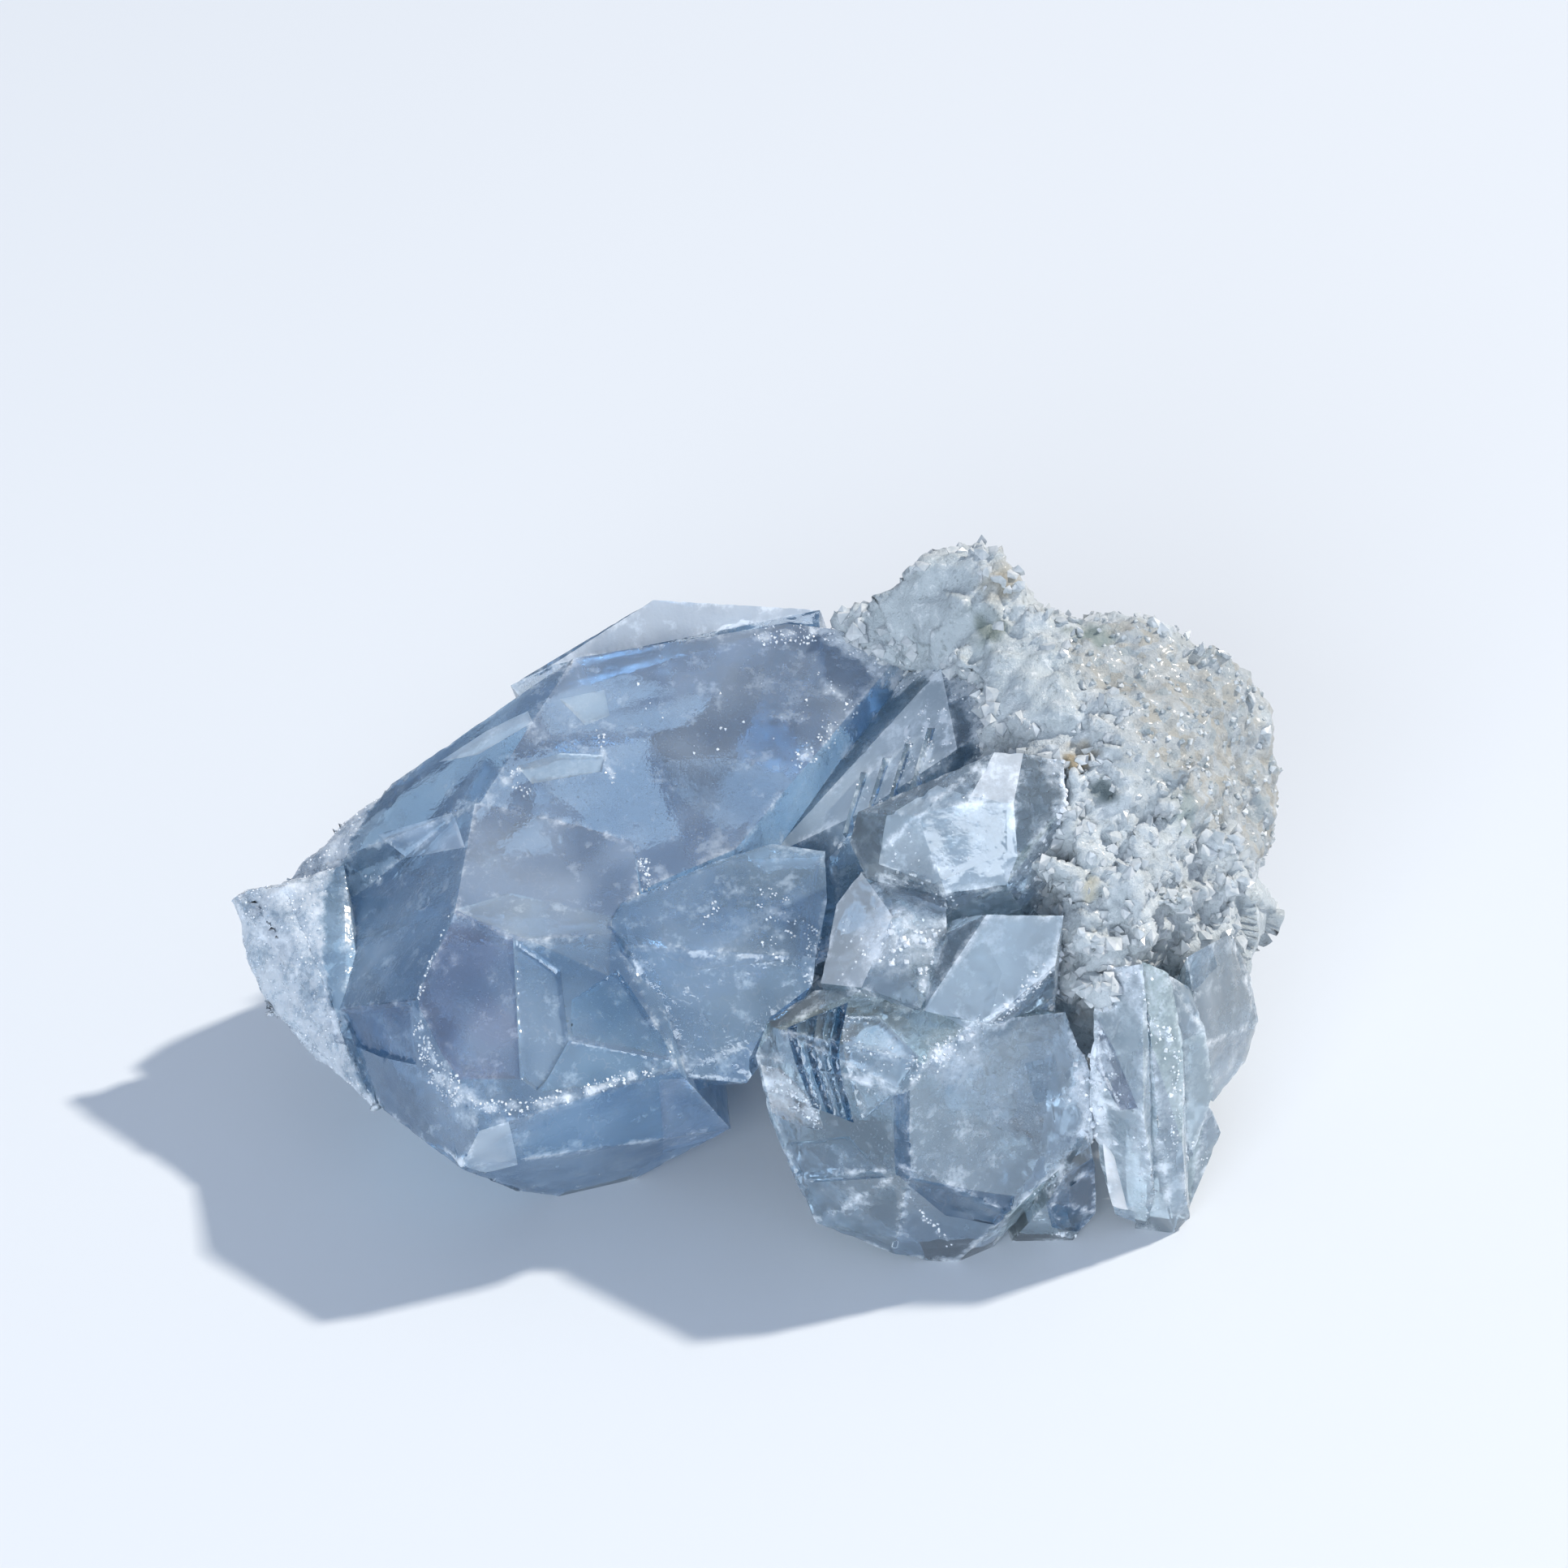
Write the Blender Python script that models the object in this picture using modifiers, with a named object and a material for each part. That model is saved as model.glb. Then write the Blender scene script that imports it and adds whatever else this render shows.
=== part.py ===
"""Rough celestite: blue and clear crystals grown on a lump of granular grey-white rock.

Run it with blender --background --python part.py, or from the text editor.
The frame is in metres with +Z up. The specimen stands on z = 0, its long side lies along X,
and its clearest crystals look towards -Y. Corners are in millimetres from the middle of the
footprint, and every crystal is the solid hull of its own corners.
"""

import math
import random

import bmesh
import bpy
from mathutils import Vector, noise

# Driving dimensions, in millimetres
MM = 0.001                    # metres in one millimetre
SPECIMEN_GAP = 0.55           # how far a neighbour's corners are spread to cut a clear gap
ROCK_VOXEL = 0.75             # size of the cells that blend the rock's lumps
ROCK_TRIANGLES = 4600         # faces kept on the rock
ROCK_LUMP = 0.9               # depth of the rock's broad lumps
ROCK_LUMP_SIZE = 5.5          # distance from lump to lump
ROCK_PIT = 0.55               # depth of the rock's small pits and grains
ROCK_PIT_SIZE = 1.7           # distance from pit to pit
FLAT_ANGLE = math.radians(7)  # corners this close to one plane make one flat face
FLAT_ROUNDS = 60              # rounds of flattening
FLAT_PULL = 0.5               # share of the way to the plane in one round
FOOT_SNAP = 0.3               # corners this far above a crystal's lowest point join its foot
WELD = 0.004                  # corners closer than this are one
SMALLEST_BODY = 0.2           # a loose sliver below this share of the faces is dropped
RIB_COUNT = 4                 # upright ribs on the recess crystal
RIB_SPACING = (1.35, 0.25, 0.95)
FLAKE_LENGTH = (1.3, 2.4)     # half lengths of the rock's flakes, from least to most
FLAKE_WIDTH = (0.8, 1.5)
FLAKE_THICKNESS = (0.3, 0.55)
FLAKE_LEAN = 0.9              # how far the flakes lean from the rock's outward direction
FLOOR_WIDTH = 120             # block that cuts the rock's foot flat
FLOOR_DEPTH = 20

# Where the rock's flakes stand, and the place they point away from
ROCK_MIDDLE = Vector((20, 5, 14))
FLAKE_PLACES = [(19.2, -3.2, 25.8), (19.6, -6.4, 23.8), (17.8, -8.2, 22.6), (20.3, -8.6, 21.6),
                (19.6, -10.8, 19.6), (20.6, -12, 17.4), (22.6, -9.6, 19.6), (24.6, -7.6, 19.6),
                (23.4, -5.6, 23.2), (26.2, -5.4, 18.6), (27.6, -3.2, 20.6), (25.4, -2.2, 25.4),
                (28.6, -2.6, 16.8), (30.2, 0.2, 16.4), (21.2, -2.2, 27), (15.6, 5.6, 27.2),
                (13.4, 7, 27), (18.6, 1.2, 27), (17.4, 8, 28.8), (31.2, 3.4, 15.2),
                (30.4, -1.2, 11.4), (24.2, -4.6, 24.6), (22.4, -8, 22.2), (28.8, 1.6, 22)]

# Colours of the four pieces, linear RGB
BLUE = (0.20, 0.34, 0.58)
CLEAR = (0.50, 0.60, 0.72)
BLADE = (0.52, 0.59, 0.68)
ROCK = (0.56, 0.60, 0.61)


# Crystals of the blue group

def ridge_crystal():
    """Long upper crystal with one broad face that leans towards the viewer."""
    crest = [(-30.1, 4.2, 11.5), (-26.2, 7.3, 14.7), (-20.2, 9, 18.8), (-17.6, 9.8, 20.5),
             (-11.4, 11.2, 23.7), (-6, 11.8, 24.1), (1.4, 13.4, 25.2), (10.2, 12.1, 25)]
    foot_of_face = [(-24.9, 4.1, 12.8), (-17.3, 2.1, 19.5), (-6.9, -3.8, 17.6), (-1.2, -1.4, 18.8)]
    right_side = [(3.2, 1.5, 14), (10.5, 10.5, 17)]
    underside = [(-26, 8.5, 9), (-14, 15.5, 9.5), (2, 17, 11), (9, 15, 12),
                 (-22, 3, 5), (-8, 6, 3.5), (6, 7, 6), (-18, -4, 8), (-4, -4, 8)]
    return crest + foot_of_face + right_side + underside


def front_crystal():
    """Stout crystal below the ridge, with a small flat foot under its front edge."""
    top_face = [(-17.3, 2.1, 19.5), (-8.1, 2.5, 19.7), (-6.8, -4.2, 17.9), (-8.4, -7.4, 17.1),
                (-14, -8, 17), (-18, -6, 17.5)]
    left_face = [(-24.9, 4.1, 12.8), (-27.1, -0.7, 10), (-25.8, -6.5, 10.2), (-20.1, -10.8, 14.8)]
    front_edge = [(-16, -18, 11), (-12.5, -17.1, 11.7), (-4.5, -14.4, 12.4)]
    lower_edge = [(-22.6, -12.2, 7.3), (-17.3, -18.2, 8.1), (-14.3, -14.3, 2.3), (-1.5, -11.6, 5)]
    foot = [(-12.1, -12.5, 0), (-7.4, -10.9, 0), (-8.5, -7.5, 0), (-12.5, -9, 0)]
    hidden = [(-22, 2, 5), (-20, -6, 4), (-6, 0, 4), (-2, -4, 6), (-10, 3, 6)]
    return top_face + left_face + front_edge + lower_edge + foot + hidden


def tip_flake():
    """Frosted flake at the left tip, standing proud of the front crystal."""
    upper_edge = [(-33.1, 1.7, 12), (-32.2, 1.7, 13), (-29.5, 0.9, 14), (-25.8, 2.2, 14.5),
                  (-26.6, 0.8, 12.4)]
    outer_edge = [(-31.7, -1.9, 8), (-30.1, -3.8, 7), (-27.8, -6.1, 6), (-22.8, -12.2, 7)]
    inner_edge = [(-26.4, -4.6, 10.7), (-24.9, -9.1, 9.5)]
    hidden = [(-29, 3.5, 9), (-26, 3, 8), (-24, -3, 6), (-23, -8, 6)]
    return upper_edge + outer_edge + inner_edge + hidden


def middle_crystal():
    """Bright blue crystal between the ridge and the clear group."""
    top_face = [(-8, -5.5, 17.9), (-2.4, -2.8, 18.9), (1, -1.6, 19.3), (4.3, -2.1, 19.1),
                (4.4, -5.4, 17.9), (3.7, -9, 16.6), (-7.5, -8.2, 16.8), (-8.6, -6.8, 17.4)]
    front_face = [(3.5, -10.1, 15.3), (1.3, -11.1, 14.2), (-0.1, -12.2, 12.9), (-0.4, -14, 11),
                  (-3.8, -13.7, 11.3), (-6.8, -10, 14.9)]
    hidden = [(-4, -9, 6), (-0.5, -9, 7), (3, -4, 8), (3, 1, 10), (-6, 1, 10), (-7, -6, 8)]
    return top_face + front_face + hidden


def back_plate():
    """Pale plate that shows behind the ridge."""
    top_edge = [(-15.9, 14, 19.8), (-13.2, 14.3, 21.2), (-10.4, 15.9, 22.4), (-6.6, 16.2, 25),
                (4.1, 13.8, 25.9)]
    back_edge = [(-13, 18.2, 17), (-5, 18.6, 20), (5, 17, 21)]
    hidden = [(-14, 16.5, 10), (2, 17.5, 10), (-9, 9, 13), (4, 9, 14)]
    return top_edge + back_edge + hidden


def recess_crystal():
    """Darker crystal in the recess between the ridge and the pale block."""
    upper_face = [(9.6, 10.5, 23.4), (11.6, 8.6, 25.2), (17.4, 3.4, 26.6), (12.3, 1.3, 24.3),
                  (6.5, 0.2, 20.3), (4.6, -0.8, 17.6), (0.8, 0.5, 16.5)]
    hidden = [(0, 4, 9), (8, 12, 12), (16, 9, 15), (15, 1, 14), (6, -2.5, 11), (1, -2, 9)]
    return upper_face + hidden


def recess_rib(index):
    """One of the thin upright ribs on the recess crystal's face."""
    step = Vector(RIB_SPACING) * index
    low = Vector((5.6, -0.4, 19.1)) + step
    high = low + Vector((1.0, 3.6, 1.9))
    width = Vector((0.42, -0.1, 0.15))
    proud = Vector((-0.25, -0.55, 0.5))
    root = Vector((0.3, 0.8, -1.6))
    return [low, low + width, high, high + width, low + proud, high + proud + 0.4 * width,
            low + root, high + root, high + root + width]


def hidden_crystal():
    """Stout crystal at the back, between the ridge and the rock."""
    upper_face = [(-6, 16.4, 15.5), (1, 19, 15), (6.5, 17.6, 12.5), (4, 12, 17)]
    lower_face = [(-7, 16.2, 7.5), (-1, 18.6, 4.5), (5, 16.8, 3.8), (-4, 10, 4), (4, 9, 5)]
    return upper_face + lower_face


def low_crystal():
    """Short crystal under the ridge, pointing down and back."""
    tip = [(-17.5, 9.6, 2.6), (-14.5, 12.4, 3.4), (-12, 8, 1.8)]
    root = [(-21, 6, 9), (-14, 14, 9.5), (-8, 10, 8), (-13, 2, 7)]
    return tip + root


# Crystals of the clear group

def rounded_crystal():
    """Stout clear crystal at the front, with a rounded rim and one broad front face."""
    broad_face = [(8.9, -18.1, 14.2), (9.1, -19.6, 9.4), (15.4, -18.7, 5.2), (20, -15.5, 7.6),
                  (19.8, -14, 12), (18.3, -13.2, 16), (13.5, -15.2, 16.3), (9.9, -17.1, 15.6)]
    left_face = [(1.2, -12.7, 14.3), (8.2, -19, 9.1), (2.4, -16.5, 5.6), (0.9, -14.4, 8.6),
                 (0.5, -13.3, 11.3)]
    rim = [(3.6, -10.6, 15.4), (7.2, -11.6, 16.8), (12.8, -15.1, 16.9), (0.8, -12, 14.2),
           (0.1, -13.1, 12.5)]
    front_steps = [(3.7, -17.2, 2.5), (8.4, -18, 0.8)]
    foot = [(10.6, -17.9, 0), (12.3, -18.1, 0), (14.6, -16.7, 0), (14, -12, 0), (10, -13, 0)]
    hidden = [(4, -11, 5), (3, -11, 9), (16, -10, 3), (17, -10, 12), (8, -9, 10)]
    return broad_face + left_face + rim + front_steps + foot + hidden


def dark_crystal():
    """Small dark crystal beside the rounded crystal's foot."""
    foot = [(15.6, -16.3, 0), (19.4, -16.2, 0), (18.6, -13.5, 0), (15, -13, 0)]
    upper = [(20.7, -15.9, 2), (20.5, -15.9, 6), (17.6, -17.9, 5), (19.9, -15.7, 8.6),
             (17, -13, 8)]
    return foot + upper


def fractured_crystal():
    """Upright translucent crystal above the rounded one."""
    top_edge = [(4.9, -6.2, 18.4), (6.4, -5, 19.9), (11.4, -6.9, 20.3)]
    faces = [(8.2, -8.7, 19.6), (11.4, -11.3, 18.6), (9.8, -13.9, 17), (6.3, -12, 16.8),
             (4.0, -10.3, 15.7)]
    hidden = [(5.5, -6, 12), (12, -6, 12), (11, -12, 12), (5, -10.5, 12)]
    return top_edge + faces + hidden


def smooth_crystal():
    """Crystal with one smooth blue-grey face between the fractured one and the rock."""
    face = [(11.3, -10.3, 19.6), (13.6, -10.7, 21.5), (17.9, -12.2, 22.5), (17.4, -14.2, 20.5),
            (15.6, -15, 19), (13.5, -15.7, 17.3), (9.8, -14.2, 17)]
    hidden = [(12, -6, 17), (18, -7, 18), (18, -11, 13), (11, -10, 12)]
    return face + hidden


def pale_block():
    """Pale block that points left over the recess."""
    upper_face = [(5.7, -4.2, 21.5), (6.2, -3.4, 23.2), (9.6, -3.2, 25), (14.2, -2.9, 27.3),
                  (15.9, -3.1, 27.4), (18.3, -3.2, 26.9)]
    front_ledge = [(9.6, -5.5, 24.6), (12.5, -5.6, 25.6), (15.3, -5.8, 26), (18.4, -5.5, 25.4)]
    lower_edge = [(6.4, -5.4, 20.4), (8.8, -6.5, 20.3), (11.4, -7.5, 20.3), (14.9, -8, 21.3),
                  (15.5, -7.4, 23)]
    hidden = [(8, -4.6, 17), (9, -2.2, 20), (18.5, 0.5, 21), (12, -1, 19), (17, -6, 16), (9, -7, 17)]
    return upper_face + front_ledge + lower_edge + hidden


# Crystals of the bladed group

def left_blade():
    """Broad outer blade with a bright split at its lower left."""
    return [(20, -12.6, 15.6), (20.4, -11.6, 18), (22.6, -12.9, 19.5), (23.2, -14.2, 16),
            (20.1, -14.9, 10.5), (20.8, -14.9, 5.4), (22, -15, 1), (23.8, -15.4, 0.3),
            (24.1, -16.5, 4), (22.9, -16.6, 11), (22, -9, 9), (23, -11, 3)]


def middle_blade():
    """Blade beside it, set slightly back."""
    return [(22.6, -12.3, 19.2), (24.1, -12.5, 18.4), (25.4, -13.8, 14), (23.3, -14.6, 14.8),
            (24, -15.8, 9), (25.6, -15.6, 7.5), (23.3, -15.2, 0.2), (25.6, -15.6, 0),
            (26.6, -15.1, 0.7), (26.2, -15.6, 3), (23.6, -12.4, 0.2), (25.6, -13, 0), (24, -10, 8)]


def right_blade():
    """Right-hand blade, which ends above the floor."""
    return [(24, -11.9, 18), (25.6, -11.4, 16.4), (26.9, -12.6, 14), (27.5, -13, 9.5),
            (26.6, -14.4, 5.5), (25.2, -14.7, 9), (25.2, -13.6, 14), (25, -9, 12),
            (26.4, -10, 6), (25.4, -13.6, 2.5)]


def outer_splinter():
    """Short splinter at the far right."""
    return [(27.3, -12.9, 8.6), (28.4, -12.5, 5.5), (27.2, -13.7, 3.9), (26.6, -14.6, 1.2),
            (25.6, -14.6, 3), (26, -13.4, 7.4), (26.4, -10.5, 7), (26, -11.5, 3)]


def grey_facet():
    """Grey crystal behind the blades."""
    return [(25.6, -9.4, 17), (28.9, -6.1, 16), (30.3, -5.5, 12.5), (31, -6.3, 9),
            (30.4, -7.3, 6.5), (28.3, -9.3, 5), (27.1, -10.8, 11), (24, -8, 8), (26.5, -3, 10),
            (29, -2.5, 12), (25.6, -11, 8)]


# Lumps of the rock

def rock_block():
    """Main body of the rock."""
    front = [(10.4, 9.2, 25), (17.5, 0.7, 27.3), (22.5, -2.4, 27.7), (18.6, -6, 25),
             (22.3, -9.3, 21.8), (26.7, -3.3, 23), (27.9, -4.7, 17.6), (20, -11.5, 17.5)]
    top = [(13.4, 8, 28.4), (19.4, 8.6, 29.6), (23.3, 7.6, 29.3), (28.4, 7, 27.4),
           (31.9, 6, 23.6), (33.2, 4.8, 19.2), (32, 3.4, 15)]
    back = [(8, 17, 22), (22, 18, 22), (28, 14, 18), (8, 18.6, 9), (25, 16.4, 6), (31, 9, 10),
            (30, -2, 9)]
    foot = [(9, 2, -1.2), (9, 14, -1.2), (26, 2, -1.2), (28, 10, -1.2), (19, 15, -1.2),
            (17, -5, -1.2)]
    return front + top + back + foot


def rock_knob():
    """Smoother knob at the top left of the rock."""
    return [(5.8, 12.6, 26), (8.8, 12.8, 29.3), (11.8, 13.1, 30.9), (14.8, 11.7, 31.3),
            (16.8, 10, 29.8), (13.6, 7.9, 28), (8.2, 10.6, 25.4), (12, 17, 27), (7, 17.3, 22),
            (16, 16, 26), (14, 8, 20), (6, 13, 20)]


def rock_heel():
    """Low lobe at the right of the rock."""
    return [(33.2, 1.8, 12), (30.9, -2.2, 9.6), (32, 5, 8), (30, 7, 3.5), (27.6, -1, 3),
            (26.6, -5.4, 8), (28, -4.4, 15), (31.2, 0.4, 14), (24, 0, 5), (24, 8, 3)]


def rock_base():
    """Tongue of rock that carries the crystals from below and behind."""
    return [(-2, 4, 5), (-3, 10, 4), (2, 16, 7), (10, 15, 2), (10, -8, 3), (4, -3, 7),
            (12, -9, 12), (12, 10, 14), (4, 12, 13), (20, -9, 4), (20, -9, 13), (24, -6, 4)]


# Making solids

def hull(corners, spread=0.0):
    """A bmesh of the solid hull of corners in millimetres, grown by spread along each axis."""
    steps = [Vector((0, 0, 0))]
    if spread:
        for axis in range(3):
            for sign in (-spread, spread):
                step = Vector((0, 0, 0))
                step[axis] = sign
                steps.append(step)
    return wrap([(Vector(corner) + step) * MM for corner in corners for step in steps])


def wrap(points):
    """A bmesh of the convex hull of the points."""
    bm = bmesh.new()
    for point in points:
        bm.verts.new(point)
    result = bmesh.ops.convex_hull(bm, input=bm.verts)
    inside = {item for item in result["geom_interior"] if isinstance(item, bmesh.types.BMVert)}
    inside |= {item for item in result["geom_unused"] if isinstance(item, bmesh.types.BMVert)}
    inside |= {vert for vert in bm.verts if not vert.link_faces}
    bmesh.ops.delete(bm, geom=list(inside), context="VERTS")
    return bm


def crystal(corners):
    """The hull of the corners, with faces that are nearly flat made flat."""
    bm = hull(corners)
    bmesh.ops.dissolve_limit(bm, angle_limit=FLAT_ANGLE, verts=bm.verts, edges=bm.edges)
    lowest = min(vert.co.z for vert in bm.verts)
    bmesh.ops.planar_faces(bm, faces=bm.faces, iterations=FLAT_ROUNDS, factor=FLAT_PULL)
    points = [vert.co.copy() for vert in bm.verts]
    bm.free()
    for point in points:
        if point.z < lowest + FOOT_SNAP * MM:
            point.z = lowest
    return wrap(points)


def add_object(name, bm, collection):
    """Put a bmesh in the scene as an object."""
    mesh = bpy.data.meshes.new(name)
    bm.to_mesh(mesh)
    bm.free()
    piece = bpy.data.objects.new(name, mesh)
    collection.objects.link(piece)
    return piece


def add_cutter(name, bm, cutters):
    """A hidden object that another piece is joined with or cut by."""
    cutter = add_object(name, bm, cutters)
    cutter.hide_render = True
    cutter.display_type = "WIRE"
    return cutter


def add_boolean(piece, cutter, operation):
    """Join piece with cutter, or cut it away."""
    modifier = piece.modifiers.new(cutter.name, "BOOLEAN")
    modifier.operation = operation
    modifier.object = cutter
    modifier.solver = "EXACT"


def settle(piece):
    """Apply the piece's modifiers and keep its one large body."""
    depsgraph = bpy.context.evaluated_depsgraph_get()
    mesh = bpy.data.meshes.new_from_object(piece.evaluated_get(depsgraph))
    piece.modifiers.clear()
    bm = bmesh.new()
    bm.from_mesh(mesh)
    bmesh.ops.remove_doubles(bm, verts=bm.verts, dist=WELD * MM)
    bmesh.ops.triangulate(bm, faces=bm.faces)
    bmesh.ops.dissolve_degenerate(bm, edges=bm.edges, dist=WELD * MM)
    bmesh.ops.triangulate(bm, faces=bm.faces)
    drop_slivers(bm)
    bm.to_mesh(piece.data)
    bm.free()
    bpy.data.meshes.remove(mesh)


def drop_slivers(bm):
    """Delete loose bodies that hold only a small share of the faces."""
    left = set(bm.faces)
    bodies = []
    while left:
        start = left.pop()
        body = {start}
        edge_of_search = [start]
        while edge_of_search:
            face = edge_of_search.pop()
            for edge in face.edges:
                for other in edge.link_faces:
                    if other in left:
                        left.discard(other)
                        body.add(other)
                        edge_of_search.append(other)
        bodies.append(body)
    most = max(len(body) for body in bodies)
    for body in bodies:
        if len(body) < SMALLEST_BODY * most:
            bmesh.ops.delete(bm, geom=list(body), context="FACES")
    loose = [vert for vert in bm.verts if not vert.link_faces]
    bmesh.ops.delete(bm, geom=loose, context="VERTS")


def grow_together(name, crystals, cutters, parts):
    """One solid from crystals that overlap: a list of corner lists."""
    piece = add_object(name, crystal(crystals[0]), parts)
    for index, corners in enumerate(crystals[1:]):
        add_boolean(piece, add_cutter(f"{name}_join_{index}", crystal(corners), cutters), "UNION")
    return piece


def clear_of(piece, name, crystals, cutters):
    """Cut sockets around neighbouring crystals, a little larger than they are."""
    for index, corners in enumerate(crystals):
        cutter = add_cutter(f"{name}_socket_{index}", hull(corners, SPECIMEN_GAP), cutters)
        add_boolean(piece, cutter, "DIFFERENCE")


# The rock

def rock_depth(point):
    """How far the rock's skin stands out at a point, in millimetres."""
    lumps = noise.fractal(point / ROCK_LUMP_SIZE, 0.7, 2.0, 3)
    cells = noise.voronoi(point / ROCK_PIT_SIZE)[0]
    pits = min(cells[1] - cells[0], 0.6) - 0.3
    return ROCK_LUMP * lumps + ROCK_PIT * pits


def rock_flake(generator, place):
    """A small wedge-shaped crystal that leans out of the rock's skin."""
    length = generator.uniform(*FLAKE_LENGTH)
    width = generator.uniform(*FLAKE_WIDTH)
    thickness = generator.uniform(*FLAKE_THICKNESS)
    outward = (place - ROCK_MIDDLE).normalized()
    lean = Vector([generator.uniform(-1, 1) for _ in range(3)])
    along = (outward + FLAKE_LEAN * lean).normalized()
    across = along.cross(Vector((0, 0, 1)) + 0.5 * lean).normalized()
    flat = along.cross(across)
    sections = ((-length, 1.0, 1.2), (0.2 * length, 0.9, 1.0), (0.7 * length, 0.35, 0.5))
    corners = []
    for reach, spread, thick in sections:
        for side in (-1, 1):
            for face in (-1, 1):
                corners.append(place + along * reach + across * side * spread * width
                               + flat * face * thick * thickness)
    return corners


def make_rock(cutters, parts):
    """Blend the lumps, roughen them, cut the foot flat and fuse the flakes."""
    bm = bmesh.new()
    for lump in (rock_block(), rock_knob(), rock_heel(), rock_base()):
        part = hull(lump)
        mesh = bpy.data.meshes.new("lump")
        part.to_mesh(mesh)
        part.free()
        bm.from_mesh(mesh)
        bpy.data.meshes.remove(mesh)
    rock = add_object("matrix", bm, parts)
    blend = rock.modifiers.new("blend", "REMESH")
    blend.mode = "VOXEL"
    blend.voxel_size = ROCK_VOXEL * MM
    settle(rock)

    bm = bmesh.new()
    bm.from_mesh(rock.data)
    bm.normal_update()
    normals = [vert.normal.copy() for vert in bm.verts]
    for vert, normal in zip(bm.verts, normals):
        vert.co += normal * rock_depth(vert.co / MM) * MM
    faces = len(bm.faces)
    bm.to_mesh(rock.data)
    bm.free()
    thin = rock.modifiers.new("thin", "DECIMATE")
    thin.ratio = ROCK_TRIANGLES / faces
    settle(rock)

    generator = random.Random(7)
    for index, place in enumerate(FLAKE_PLACES):
        flake = hull(rock_flake(generator, Vector(place)))
        add_boolean(rock, add_cutter(f"matrix_flake_{index}", flake, cutters), "UNION")

    floor = bmesh.new()
    bmesh.ops.create_cube(floor, size=1.0)
    size = Vector((FLOOR_WIDTH, FLOOR_WIDTH, FLOOR_DEPTH)) * MM
    bmesh.ops.scale(floor, vec=size, verts=floor.verts)
    bmesh.ops.translate(floor, vec=(0, 0, -size.z / 2), verts=floor.verts)
    add_boolean(rock, add_cutter("matrix_floor", floor, cutters), "DIFFERENCE")
    return rock


def make_material(name, colour, roughness, transmission):
    """A plain finish for one piece."""
    material = bpy.data.materials.new(name)
    material.use_nodes = True
    shader = material.node_tree.nodes["Principled BSDF"]
    shader.inputs["Base Color"].default_value = (*colour, 1)
    shader.inputs["Roughness"].default_value = roughness
    shader.inputs["Metallic"].default_value = 0
    shader.inputs["Transmission Weight"].default_value = transmission
    material.diffuse_color = (*colour, 1)
    return material


def make_collection(name):
    """A collection linked to the scene."""
    collection = bpy.data.collections.new(name)
    bpy.context.scene.collection.children.link(collection)
    return collection


def main():
    """Build the four pieces."""
    for old in list(bpy.data.objects):
        bpy.data.objects.remove(old)
    parts = make_collection("rough_celestite")
    cutters = make_collection("cutters")

    blue = [ridge_crystal(), front_crystal(), tip_flake(), middle_crystal(), back_plate(),
            recess_crystal(), hidden_crystal(), low_crystal()]
    blue += [recess_rib(index) for index in range(RIB_COUNT)]
    clear = [rounded_crystal(), dark_crystal(), fractured_crystal(), smooth_crystal(),
             pale_block()]
    bladed = [left_blade(), middle_blade(), right_blade(), outer_splinter(), grey_facet()]

    clear_piece = grow_together("clear_crystals", clear, cutters, parts)
    blue_piece = grow_together("blue_crystals", blue, cutters, parts)
    clear_of(blue_piece, "blue", clear, cutters)
    bladed_piece = grow_together("bladed_crystals", bladed, cutters, parts)
    clear_of(bladed_piece, "bladed", clear, cutters)
    rock = make_rock(cutters, parts)
    clear_of(rock, "matrix", blue + clear + bladed, cutters)

    finishes = ((blue_piece, BLUE, 0.15, 0.6), (clear_piece, CLEAR, 0.1, 0.8),
                (bladed_piece, BLADE, 0.15, 0.7), (rock, ROCK, 0.85, 0.0))
    for piece, colour, roughness, transmission in finishes:
        settle(piece)
        piece.data.materials.append(
            make_material(f"{piece.name}_finish", colour, roughness, transmission))


main()
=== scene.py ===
"""Looks of the rough celestite: see-through blue and clear crystals on sugary grey-white rock.

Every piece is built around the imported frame, in metres, with +Z up. Places on the crystals are
given in millimetres from the middle of the footprint.
"""
import math
import random

import bmesh
import bpy
import numpy as np
from bpy.props import FloatProperty, FloatVectorProperty, PointerProperty
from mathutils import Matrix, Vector, noise
from mathutils.bvhtree import BVHTree
from mathutils.kdtree import KDTree


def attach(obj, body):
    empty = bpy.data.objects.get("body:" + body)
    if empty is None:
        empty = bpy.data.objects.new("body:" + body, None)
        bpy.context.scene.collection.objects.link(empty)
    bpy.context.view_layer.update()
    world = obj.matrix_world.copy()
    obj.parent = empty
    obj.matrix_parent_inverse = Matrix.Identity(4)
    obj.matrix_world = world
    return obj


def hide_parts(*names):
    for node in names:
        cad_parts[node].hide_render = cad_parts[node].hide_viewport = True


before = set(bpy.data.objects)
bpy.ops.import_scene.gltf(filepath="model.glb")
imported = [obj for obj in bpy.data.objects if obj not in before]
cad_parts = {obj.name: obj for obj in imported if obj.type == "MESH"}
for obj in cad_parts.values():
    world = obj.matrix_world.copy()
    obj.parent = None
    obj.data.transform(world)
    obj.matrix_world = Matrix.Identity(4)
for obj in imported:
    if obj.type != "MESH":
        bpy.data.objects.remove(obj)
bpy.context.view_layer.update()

bl_info = {
    "name": "Rough celestite",
    "version": (1, 0, 0),
    "blender": (4, 5, 0),
    "location": "View3D > Sidebar > Celestite",
    "description": "Builds a rough celestite specimen with its crystals, rock and stage",
    "category": "Add Mesh",
}

MM = 0.001
WELD = 0.002 * MM                     # corners of loose triangles closer than this are merged


# Settings that a user would change

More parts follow.
